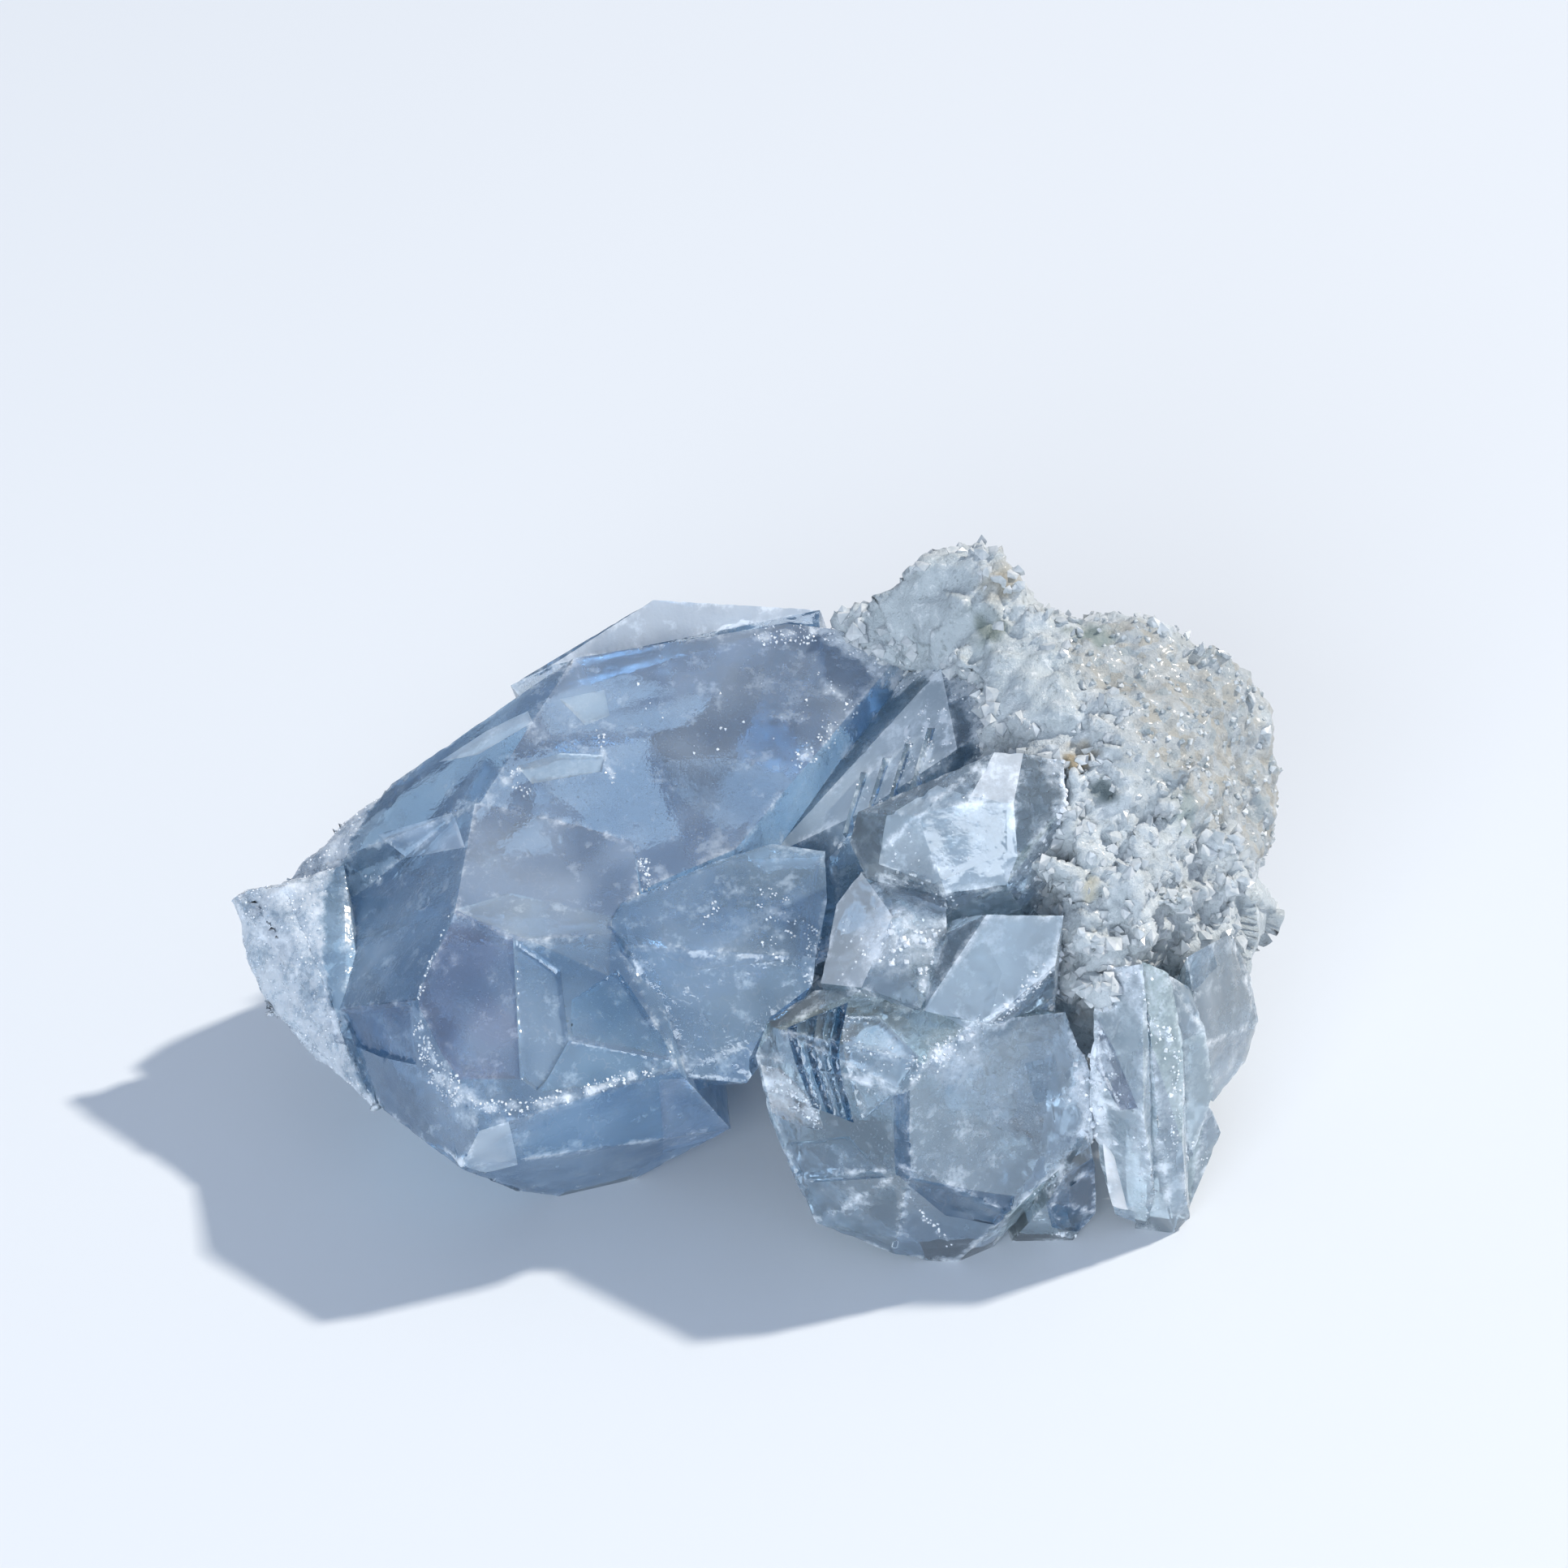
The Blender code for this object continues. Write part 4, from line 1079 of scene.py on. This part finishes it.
# Wisps inside the crystals: a middle, the way each sheet faces, its half length and half width
VEILS = {
    "blue_crystals": [
        ((-15, 4.5, 19), (0.5, -0.4, 0.8), 5, 3), ((-19, 3.5, 16), (0.2, -0.9, 0.5), 6, 3),
        ((-9, 4, 19), (-0.3, -0.5, 0.8), 7, 3.5), ((-4, 6, 20), (0.6, -0.5, 0.5), 6, 4),
        ((2, 7, 20), (-0.2, -0.7, 0.7), 5, 4), ((-13, 8, 19), (0.1, -0.6, 0.8), 8, 2.5),
        ((-20, -3, 12), (-0.6, -0.3, 0.7), 4, 4), ((-14, -5, 15), (0.3, -0.6, 0.7), 5, 3),
        ((-10, -9, 12), (-0.5, -0.7, 0.5), 5, 3), ((-17, -9, 12), (0.6, -0.6, 0.5), 5, 3),
        ((-2, -6, 15), (0.2, -0.5, 0.8), 4, 3), ((0, -7, 16), (-0.7, -0.4, 0.6), 3, 3),
        ((-5, -9, 12), (0.1, -0.8, 0.6), 4, 3), ((-29, -2, 10), (-0.5, -0.4, 0.8), 4, 3),
        ((10, 5, 21), (-0.6, -0.3, 0.7), 4, 3), ((-6, 16.5, 20), (-0.2, -0.7, 0.7), 6, 3)],
    "clear_crystals": [
        ((5, -14, 12), (-0.6, -0.6, 0.5), 3, 3), ((12, -15, 11), (0.3, -0.9, 0.3), 5, 3),
        ((9, -14, 8), (0.6, -0.7, 0.3), 4, 3), ((15, -14, 10), (-0.3, -0.8, 0.4), 4, 3),
        ((8, -14, 14), (-0.2, -0.5, 0.8), 4, 3), ((12, -13, 5), (0.2, -0.9, -0.2), 4, 2),
        ((8, -9, 17), (-0.5, -0.3, 0.8), 3, 2.5), ((14, -12, 18), (-0.3, -0.6, 0.7), 4, 2.5),
        ((12, -5, 23), (-0.2, -0.8, 0.5), 5, 2), ((13, -4, 25), (-0.1, -0.4, 0.9), 4, 1.5)],
    "bladed_crystals": [
        ((22.5, -14, 12), (-0.5, -0.8, 0.3), 2, 6), ((25, -13.5, 11), (0.5, -0.8, 0.2), 1.5, 5),
        ((24, -14.5, 6), (-0.4, -0.9, 0), 2, 4), ((28, -7.5, 11), (0.7, -0.6, 0.3), 2.5, 3)],
}
VEIL_CELL = 0.4                       # width of the sheets' faces, mm
VEIL_WAVE = 1.1                       # how far the sheets swing out of their plane, mm
VEIL_COVER = 0.35 * MM                # how deep in the crystal they stay at least
VEIL_GAPS = 0.02                      # sheets leave out places whose noise is below this


def veil_sheets(node, cell):
    """Wavy sheets of small faces that lie inside a node's crystals."""
    tree = solid_trees([node])[0]
    sheets = bmesh.new()
    for middle, facing, length, width in VEILS[node]:
        out = Vector(facing).normalized()
        along = out.cross(Vector((0.3, 0.2, 1))).normalized()
        across = out.cross(along)
        shift = Vector(middle) * 1.7
        columns = math.ceil(2 * length / cell)
        rows = math.ceil(2 * width / cell)
        grid = {}
        for column in range(columns + 1):
            for row in range(rows + 1):
                u = column * cell - length
                v = row * cell - width
                place = Vector(middle) + along * u + across * v
                place += out * VEIL_WAVE * noise.noise(place * 0.24 + shift)
                grid[column, row] = sheets.verts.new(place * MM)
        for column in range(columns):
            for row in range(rows):
                corners = [grid[column, row], grid[column + 1, row],
                           grid[column + 1, row + 1], grid[column, row + 1]]
                centre = sum((corner.co for corner in corners), Vector()) / 4
                where, normal = tree.find_nearest(centre)[:2]
                inside = (where - centre).dot(normal) > VEIL_COVER
                thick = noise.fractal(centre / MM * 0.5 + shift, 0.8, 2.0, 4)
                if inside and thick > VEIL_GAPS:
                    sheets.faces.new(corners)
    loose = [vertex for vertex in sheets.verts if not vertex.link_faces]
    bmesh.ops.delete(sheets, geom=loose, context="VERTS")
    mesh = bpy.data.meshes.new("sheets")
    sheets.to_mesh(mesh)
    sheets.free()
    return mesh


def fleck_material(name, looks):
    """Bright flecks that catch the light."""
    make = Shading(name)
    tone = make.noise(make.place(), 1.5, 2)
    colour = make.mix(make.band(tone, 0.35, 0.65), rgba(looks.frost), rgba(looks.chip))
    surface = make.add("BsdfPrincipled", {"Base Color": colour, "Roughness": 0.15,
                                          "IOR": looks.refraction})
    return make.finish(surface)


class MakeVeils(bpy.types.Operator):
    """Build the wisps of fine flecks inside the crystals"""
    bl_idname = "celestite.veils"
    bl_label = "Inner wisps"

    def execute(self, context):
        looks = context.scene.crystal_looks
        for seed, (node, kind) in enumerate(CRYSTALS.items()):
            shape = angular_shape("fleck", flatness=0.3, seed=8, corners=3)
            flecks = scattered(f"{node}_wisps", veil_sheets(node, VEIL_CELL), shape,
                               fleck_material(f"{node}_fleck", looks), looks.wisp_density,
                               0.3 * looks.fleck, looks.fleck, seed)
            finish_piece(flecks, kind["slot"])
        return {"FINISHED"}


# Rock

# Kinds of skin on the rock: a place in each patch and how far it reaches, in millimetres
ROCK_ZONES = {
    "granular": [((27.2, 1.2, 26.0), 7.5), ((31.6, 2.2, 18.8), 4.5), ((22.6, 5.0, 28.0), 4.5),
                 ((28.0, 10.0, 22.0), 8.0)],
    "glassy": [((11.8, 10.4, 28.9), 4.0), ((9.6, 10.6, 27.0), 4.0), ((14.8, 5.2, 28.1), 3.6),
               ((17.6, 3.0, 28.2), 3.0), ((31.4, -1.1, 11.7), 5.5), ((30.5, 1.5, 6.0), 6.0)],
}
# Small stains: place, reach, colour
STAINS = {
    "brown on the knob": ((15.3, 10.0, 30.5), 2.0, (0.42, 0.41, 0.36)),
    "green-grey pit": ((14.4, 7.7, 28.7), 1.7, (0.20, 0.25, 0.24)),
    "green-grey lens": ((20.7, 7.2, 28.8), 1.9, (0.24, 0.31, 0.31)),
    "rust": ((19.2, -2.4, 26.4), 1.4, (0.34, 0.29, 0.20)),
    "dark specks": ((20.8, -4.3, 25.5), 1.3, (0.16, 0.21, 0.23)),
    "grey-green grains": ((25.6, -4.0, 23.7), 1.9, (0.33, 0.41, 0.43)),
    "yellowish": ((19.6, -9.5, 22.6), 1.2, (0.62, 0.61, 0.52)),
}
# What stands on the rock: its shape's name, thickness, seed and corners, its two colours and
# clearness, the settings for its density and size, its smallest and largest share of that size,
# and the seed of its places
ROCK_BITS = {
    "rock_grains": {"shape": ("grain", 0.7, 3, 6), "colours": ("shard", "grey"),
                    "clearness": 0.1, "density": "grain_density", "size": "grain",
                    "shares": (0.4, 0.85), "seed": 11},
    "rock_shards": {"shape": ("shard", 0.28, 6, 7), "colours": ("shard", "pale"),
                    "clearness": 0.25, "density": "shard_density", "size": "shard_size",
                    "shares": (0.35, 1.0), "seed": 4},
    "rock_seams": {"shape": ("flake", 0.35, 7, 7), "colours": ("shard", "pale"),
                   "clearness": 0.25, "density": "seam_density", "size": "shard_size",
                   "shares": (0.4, 1.2), "seed": 7},
}
ROCK_REFRACTION = 1.6
ROCK_ROUNDS = 6                       # how often the rock's solid is smoothed
GRAINY = 0.35                         # grains stand where the skin is more granular than this
UNBROKEN = 0.6                        # shards leave out skin that is granular or glassy to this
SHARD_FOOT = 1.5 * MM                 # and the rock's lowest edge
FLAKE_REACH = 1.5 * MM                # seam flakes stand this near to the crystals
FLAKE_FOOT = 8 * MM                   # and higher than this


def zone_weight(point, blobs):
    """How far a point lies in a zone of the rock's skin, 0 to 1, with a ragged edge."""
    ragged = ripple(point, 1.4, 0.45)
    return max(smooth_step(radius, 0.6 * radius, (point - Vector(place)).length + ragged)
               for place, radius in blobs)


def shards(point, size, tilt, seed):
    """Height of broken faces, each tilted its own way."""
    place = point / size + Vector((seed, 0, 0))
    nearest = noise.voronoi(place)[1][0]
    lean = noise.cell_vector(nearest * 37.0) - Vector((0.5, 0.5, 0.5))
    return lean.dot(place - nearest) * tilt * size + (lean.x + lean.y) * 0.25 * tilt


def rock_relief(trees, skins):
    """Fine grains, broken shards and smooth glassy faces, closed up to the crystals."""
    def relief(point, index):
        granular, glassy = skins[index]
        flaky = max(1 - granular - glassy, 0)
        depth = noise.fractal(point * 0.30, 0.9, 2.0, 3) * 0.40
        if granular > 0:
            depth += granular * ((0.5 - noise.voronoi(point / 0.66)[0][0]) * 0.42
                                 + ripple(point, 0.22, 0.9))
        if flaky > 0:
            depth += flaky * (shards(point, 2.2, 0.6, 0) + 0.6 * shards(point, 0.8, 0.9, 5)
                              + ripple(point, 0.16, 2.1))
        if glassy > 0:
            depth += glassy * shards(point, 3.4, 0.55, 9)
        depth += ripple(point, 0.04, 5.3)
        close = smooth_step(1.1, 0.6, gap_to(trees, point * MM) / MM)
        depth = depth * (1 - 0.6 * close) + 0.5 * close
        return depth * smooth_step(-0.1, 1.2, point.z)

    return relief


def stain_at(point):
    """Colour and strength of the stain at a point."""
    colour, strength = (0, 0, 0), 0.0
    for place, radius, stain in STAINS.values():
        away = (point - Vector(place)).length + ripple(point, 0.8, 1.3)
        here = smooth_step(radius, 0.3 * radius, away)
        if here > strength:
            colour, strength = stain, here
    return (*colour, strength)


def rock_material(name, looks):
    """Grey-white rock: sugary and beige-grey in places, glassy grey in others, with stains."""
    make = Shading(name)
    where = make.place()
    skin = make.add("SeparateColor", {"Color": make.attribute("skin").outputs["Color"]})
    granular, glassy = skin.outputs["Red"], skin.outputs["Green"]
    stain = make.attribute("stain")
    patches = make.noise(where, 0.34, 4, 0.65)
    fine = make.noise(where, 1.5, 5, 0.75)
    cells = make.add("TexVoronoi", {"Vector": where, "Scale": 1.55}, feature="F1")
    cell_tone = make.add("SeparateColor", {"Color": cells.outputs["Color"]}).outputs["Red"]

    colour = make.mix(make.band(patches, 0.42, 0.64, 0, 0.45), rgba(looks.pale), rgba(looks.grey))
    sandy = rgba([part * 0.70 for part in looks.pale])
    salt = make.mix(make.band(cell_tone, 0.35, 0.9), sandy, rgba(looks.beige))
    salt = make.mix(make.band(cell_tone, 0.25, 0.05), salt, rgba(looks.grey))
    colour = make.mix(make.times(granular, 0.85), colour, salt)
    colour = make.mix(make.times(glassy, 0.75), colour, rgba(looks.glassy))
    bright = make.times(make.band(fine, 0.54, 0.68, 0, 0.8), make.band(granular, 0, 1, 1, 0.45))
    colour = make.mix(bright, colour, rgba(looks.shard))
    dark = make.band(fine, 0.44, 0.32, 0, 0.6)
    colour = make.mix(dark, colour, rgba([part * 0.55 for part in looks.grey]))
    colour = make.mix(stain.outputs["Alpha"], colour, stain.outputs["Color"])

    bumps = make.bump(fine, 0.3, 0.9)
    roughness = make.maths("SUBTRACT", 0.5, make.times(glassy, 0.3))
    surface = make.add("BsdfPrincipled", {
        "Base Color": colour, "Roughness": roughness, "IOR": ROCK_REFRACTION,
        "Normal": bumps, "Coat Weight": 0.15, "Coat Roughness": 0.15})
    return make.finish(surface)


def grain_material(name, colours, clearness):
    """Small translucent grains whose tone changes from place to place."""
    make = Shading(name)
    tone = make.noise(make.place(), 1.4, 2, 0.7)
    colour = make.mix(make.band(tone, 0.36, 0.64), rgba(colours[0]), rgba(colours[1]))
    surface = make.add("BsdfPrincipled", {
        "Base Color": colour, "Roughness": 0.22, "IOR": ROCK_REFRACTION,
        "Transmission Weight": clearness})
    return make.finish(surface)


def rock_lump(cell):
    """A fine mesh of the rock's solid with its edges rounded off."""
    solid = node_solid("matrix")
    rock = fine_piece("rock", solid, cell)
    solid.free()
    smooth = rock.modifiers.new("smooth", "SMOOTH")
    smooth.factor = 0.5
    smooth.iterations = ROCK_ROUNDS
    return applied(rock)


def rock_skins(mesh):
    """How granular and how glassy the rock is at each vertex, and the stains there."""
    skins = []
    stains = []
    for vertex in mesh.vertices:
        point = vertex.co / MM
        granular = zone_weight(point, ROCK_ZONES["granular"])
        glassy = zone_weight(point, ROCK_ZONES["glassy"]) * (1 - granular)
        skins.append((granular, glassy))
        stains.append(stain_at(point))
    return skins, stains


def rock_bits(name, surface, looks):
    """Small bodies of one kind that stand on a part of the rock's surface."""
    kind = ROCK_BITS[name]
    shape = angular_shape(*kind["shape"])
    colours = [getattr(looks, colour) for colour in kind["colours"]]
    material = grain_material(f"rock_{kind['shape'][0]}", colours, kind["clearness"])
    smallest, largest = (share * getattr(looks, kind["size"]) for share in kind["shares"])
    bits = scattered(name, surface, shape, material, getattr(looks, kind["density"]), smallest,
                     largest, kind["seed"])
    finish_piece(bits, "rock")


class MakeRock(bpy.types.Operator):
    """Build the rock, the grains in its skin and its broken shards"""
    bl_idname = "celestite.rock"
    bl_label = "Rock"

    def execute(self, context):
        looks = context.scene.rock_looks
        rock = rock_lump(looks.cell)
        mesh = rock.data
        skins, stains = rock_skins(mesh)
        trees = solid_trees(CRYSTALS)
        displaced(mesh, rock_relief(trees, skins))
        mesh.shade_smooth()
        mesh.materials.clear()
        mesh.materials.append(rock_material("rock_skin", looks))
        store(mesh, "skin", "FLOAT_COLOR", "POINT",
              [part for granular, glassy in skins for part in (granular, glassy, 0, 1)])
        store(mesh, "stain", "FLOAT_COLOR", "POINT", [part for stain in stains for part in stain])
        finish_piece(rock, "rock", "matrix")

        def is_grainy(face):
            return skins[face.vertices[0]][0] > GRAINY

        def is_broken(face):
            corner = face.vertices[0]
            return sum(skins[corner]) < UNBROKEN and mesh.vertices[corner].co.z > SHARD_FOOT

        def is_seam(face):
            return gap_to(trees, face.center) < FLAKE_REACH and face.center.z > FLAKE_FOOT

        rock_bits("rock_grains", chosen_faces(mesh, is_grainy), looks)
        rock_bits("rock_shards", chosen_faces(mesh, is_broken), looks)
        rock_bits("rock_seams", chosen_faces(mesh, is_seam), looks)
        return {"FINISHED"}


# Stage

FLOOR_HALF = 1.5
FLOOR_MOTTLE = 0.97                   # the floor's darker patches, as a share of its colour
TOWARDS_LIGHT = (0.88, 0.44, 1.0)
KEY_DISTANCE = 2.4
KEY_COLOUR = (1.0, 0.92, 0.81)
FILL_PLACE = (-0.35, -1.0, 0.45)
FILL_SIZE = 0.7
FILL_COLOUR = (0.86, 0.93, 1.0)
SKY_BLEND = (-0.5, 0.9)               # cosines between which the sky goes from dim to bright
CAMERA_PLACE = (1.8, -150.2, 140.0)   # millimetres
CAMERA_TILT = math.radians(38)        # how far the camera looks down
BOUNCES = {"max_bounces": 8, "transmission_bounces": 8, "diffuse_bounces": 2,
           "transparent_max_bounces": 6}


class MakeStage(bpy.types.Operator):
    """Build the floor, the lights and the camera"""
    bl_idname = "celestite.stage"
    bl_label = "Stage"

    def execute(self, context):
        scene = context.scene
        looks = scene.stage_looks
        floor = self.make_floor(looks)
        towards_light = Vector(TOWARDS_LIGHT).normalized()
        scene.world = self.make_world(looks, towards_light)
        self.add_light("key", towards_light * KEY_DISTANCE, looks.key_size, looks.key_power,
                       KEY_COLOUR)
        self.add_light("fill", Vector(FILL_PLACE), FILL_SIZE, looks.fill_power, FILL_COLOUR)
        scene.camera = self.add_camera(looks)
        scene.view_settings.view_transform = "Standard"
        scene.cycles.use_denoising = True
        for setting, value in BOUNCES.items():
            setattr(scene.cycles, setting, value)
        return {"FINISHED"}

    @staticmethod
    def make_floor(looks):
        """A flat pale floor."""
        bm = bmesh.new()
        bmesh.ops.create_grid(bm, x_segments=1, y_segments=1, size=FLOOR_HALF)
        mesh = bpy.data.meshes.new("floor")
        bm.to_mesh(mesh)
        bm.free()
        make = Shading("floor_paint")
        tone = make.noise(make.place(0.004), detail=2)
        shade = [part * FLOOR_MOTTLE for part in looks.floor]
        colour = make.mix(tone, rgba(shade), rgba(looks.floor))
        surface = make.add("BsdfPrincipled", {"Base Color": colour, "Roughness": 0.42})
        mesh.materials.append(make.finish(surface))
        return link("floor", mesh)

    @staticmethod
    def add_camera(looks):
        """A camera that looks down at the specimen from the front."""
        data = bpy.data.cameras.new("camera")
        data.lens = looks.lens
        data.clip_start = 0.01
        camera = bpy.data.objects.new("camera", data)
        camera.location = mm(CAMERA_PLACE)
        camera.rotation_euler = (math.pi / 2 - CAMERA_TILT, 0, 0)
        bpy.context.scene.collection.objects.link(camera)
        return camera

    @staticmethod
    def make_world(looks, bright_side):
        """Light from all round, brightest on one side and dim low on the other."""
        world = bpy.data.worlds.new("studio")
        world.use_nodes = True
        tree = world.node_tree
        where = tree.nodes.new("ShaderNodeTexCoord").outputs["Generated"]
        towards = tree.nodes.new("ShaderNodeVectorMath")
        towards.operation = "DOT_PRODUCT"
        towards.inputs[1].default_value = bright_side
        tree.links.new(where, towards.inputs[0])
        blend = tree.nodes.new("ShaderNodeMapRange")
        blend.interpolation_type = "SMOOTHSTEP"
        blend.inputs["From Min"].default_value = SKY_BLEND[0]
        blend.inputs["From Max"].default_value = SKY_BLEND[1]
        tree.links.new(towards.outputs["Value"], blend.inputs["Value"])
        colour = tree.nodes.new("ShaderNodeMix")
        colour.data_type = "RGBA"
        sockets = {socket.identifier: socket for socket in colour.inputs}
        sockets["A_Color"].default_value = rgba([part * looks.sky_dim for part in looks.sky])
        sockets["B_Color"].default_value = rgba([part * looks.sky_bright for part in looks.sky])
        tree.links.new(blend.outputs["Result"], sockets["Factor_Float"])
        back = tree.nodes["Background"]
        output = [socket for socket in colour.outputs if socket.identifier == "Result_Color"][0]
        tree.links.new(output, back.inputs["Color"])
        return world

    @staticmethod
    def add_light(name, place, size, power, colour):
        """A square lamp that points at the specimen."""
        data = bpy.data.lights.new(name, "AREA")
        data.size = size
        data.energy = power
        data.color = colour
        lamp = bpy.data.objects.new(name, data)
        lamp.location = place
        lamp.rotation_mode = "QUATERNION"
        lamp.rotation_quaternion = place.to_track_quat("Z", "Y")
        bpy.context.scene.collection.objects.link(lamp)


class CelestitePanel(bpy.types.Panel):
    """Buttons for the pieces"""
    bl_idname = "VIEW3D_PT_celestite"
    bl_label = "Celestite"
    bl_space_type = "VIEW_3D"
    bl_region_type = "UI"
    bl_category = "Celestite"

    def draw(self, context):
        for operator in OPERATORS:
            self.layout.operator(operator.bl_idname)


SETTINGS = (("crystal_looks", CrystalLooks), ("rock_looks", RockLooks),
            ("stage_looks", StageLooks))
OPERATORS = (MakeStage, MakeRock, MakeBlueCrystals, MakeClearCrystals, MakeBladedCrystals,
             MakeVeils)


def register():
    """Register the settings, the operators and the panel."""
    for name, group in SETTINGS:
        bpy.utils.register_class(group)
        setattr(bpy.types.Scene, name, PointerProperty(type=group))
    for operator in OPERATORS:
        bpy.utils.register_class(operator)
    bpy.utils.register_class(CelestitePanel)


def unregister():
    """Take back what register did."""
    bpy.utils.unregister_class(CelestitePanel)
    for operator in reversed(OPERATORS):
        bpy.utils.unregister_class(operator)
    for name, group in reversed(SETTINGS):
        delattr(bpy.types.Scene, name)
        bpy.utils.unregister_class(group)


def main():
    """Build the whole specimen."""
    register()
    for make in (bpy.ops.celestite.stage, bpy.ops.celestite.rock,
                 bpy.ops.celestite.blue_crystals, bpy.ops.celestite.clear_crystals,
                 bpy.ops.celestite.bladed_crystals, bpy.ops.celestite.veils):
        make()


if __name__ == "__main__":
    main()
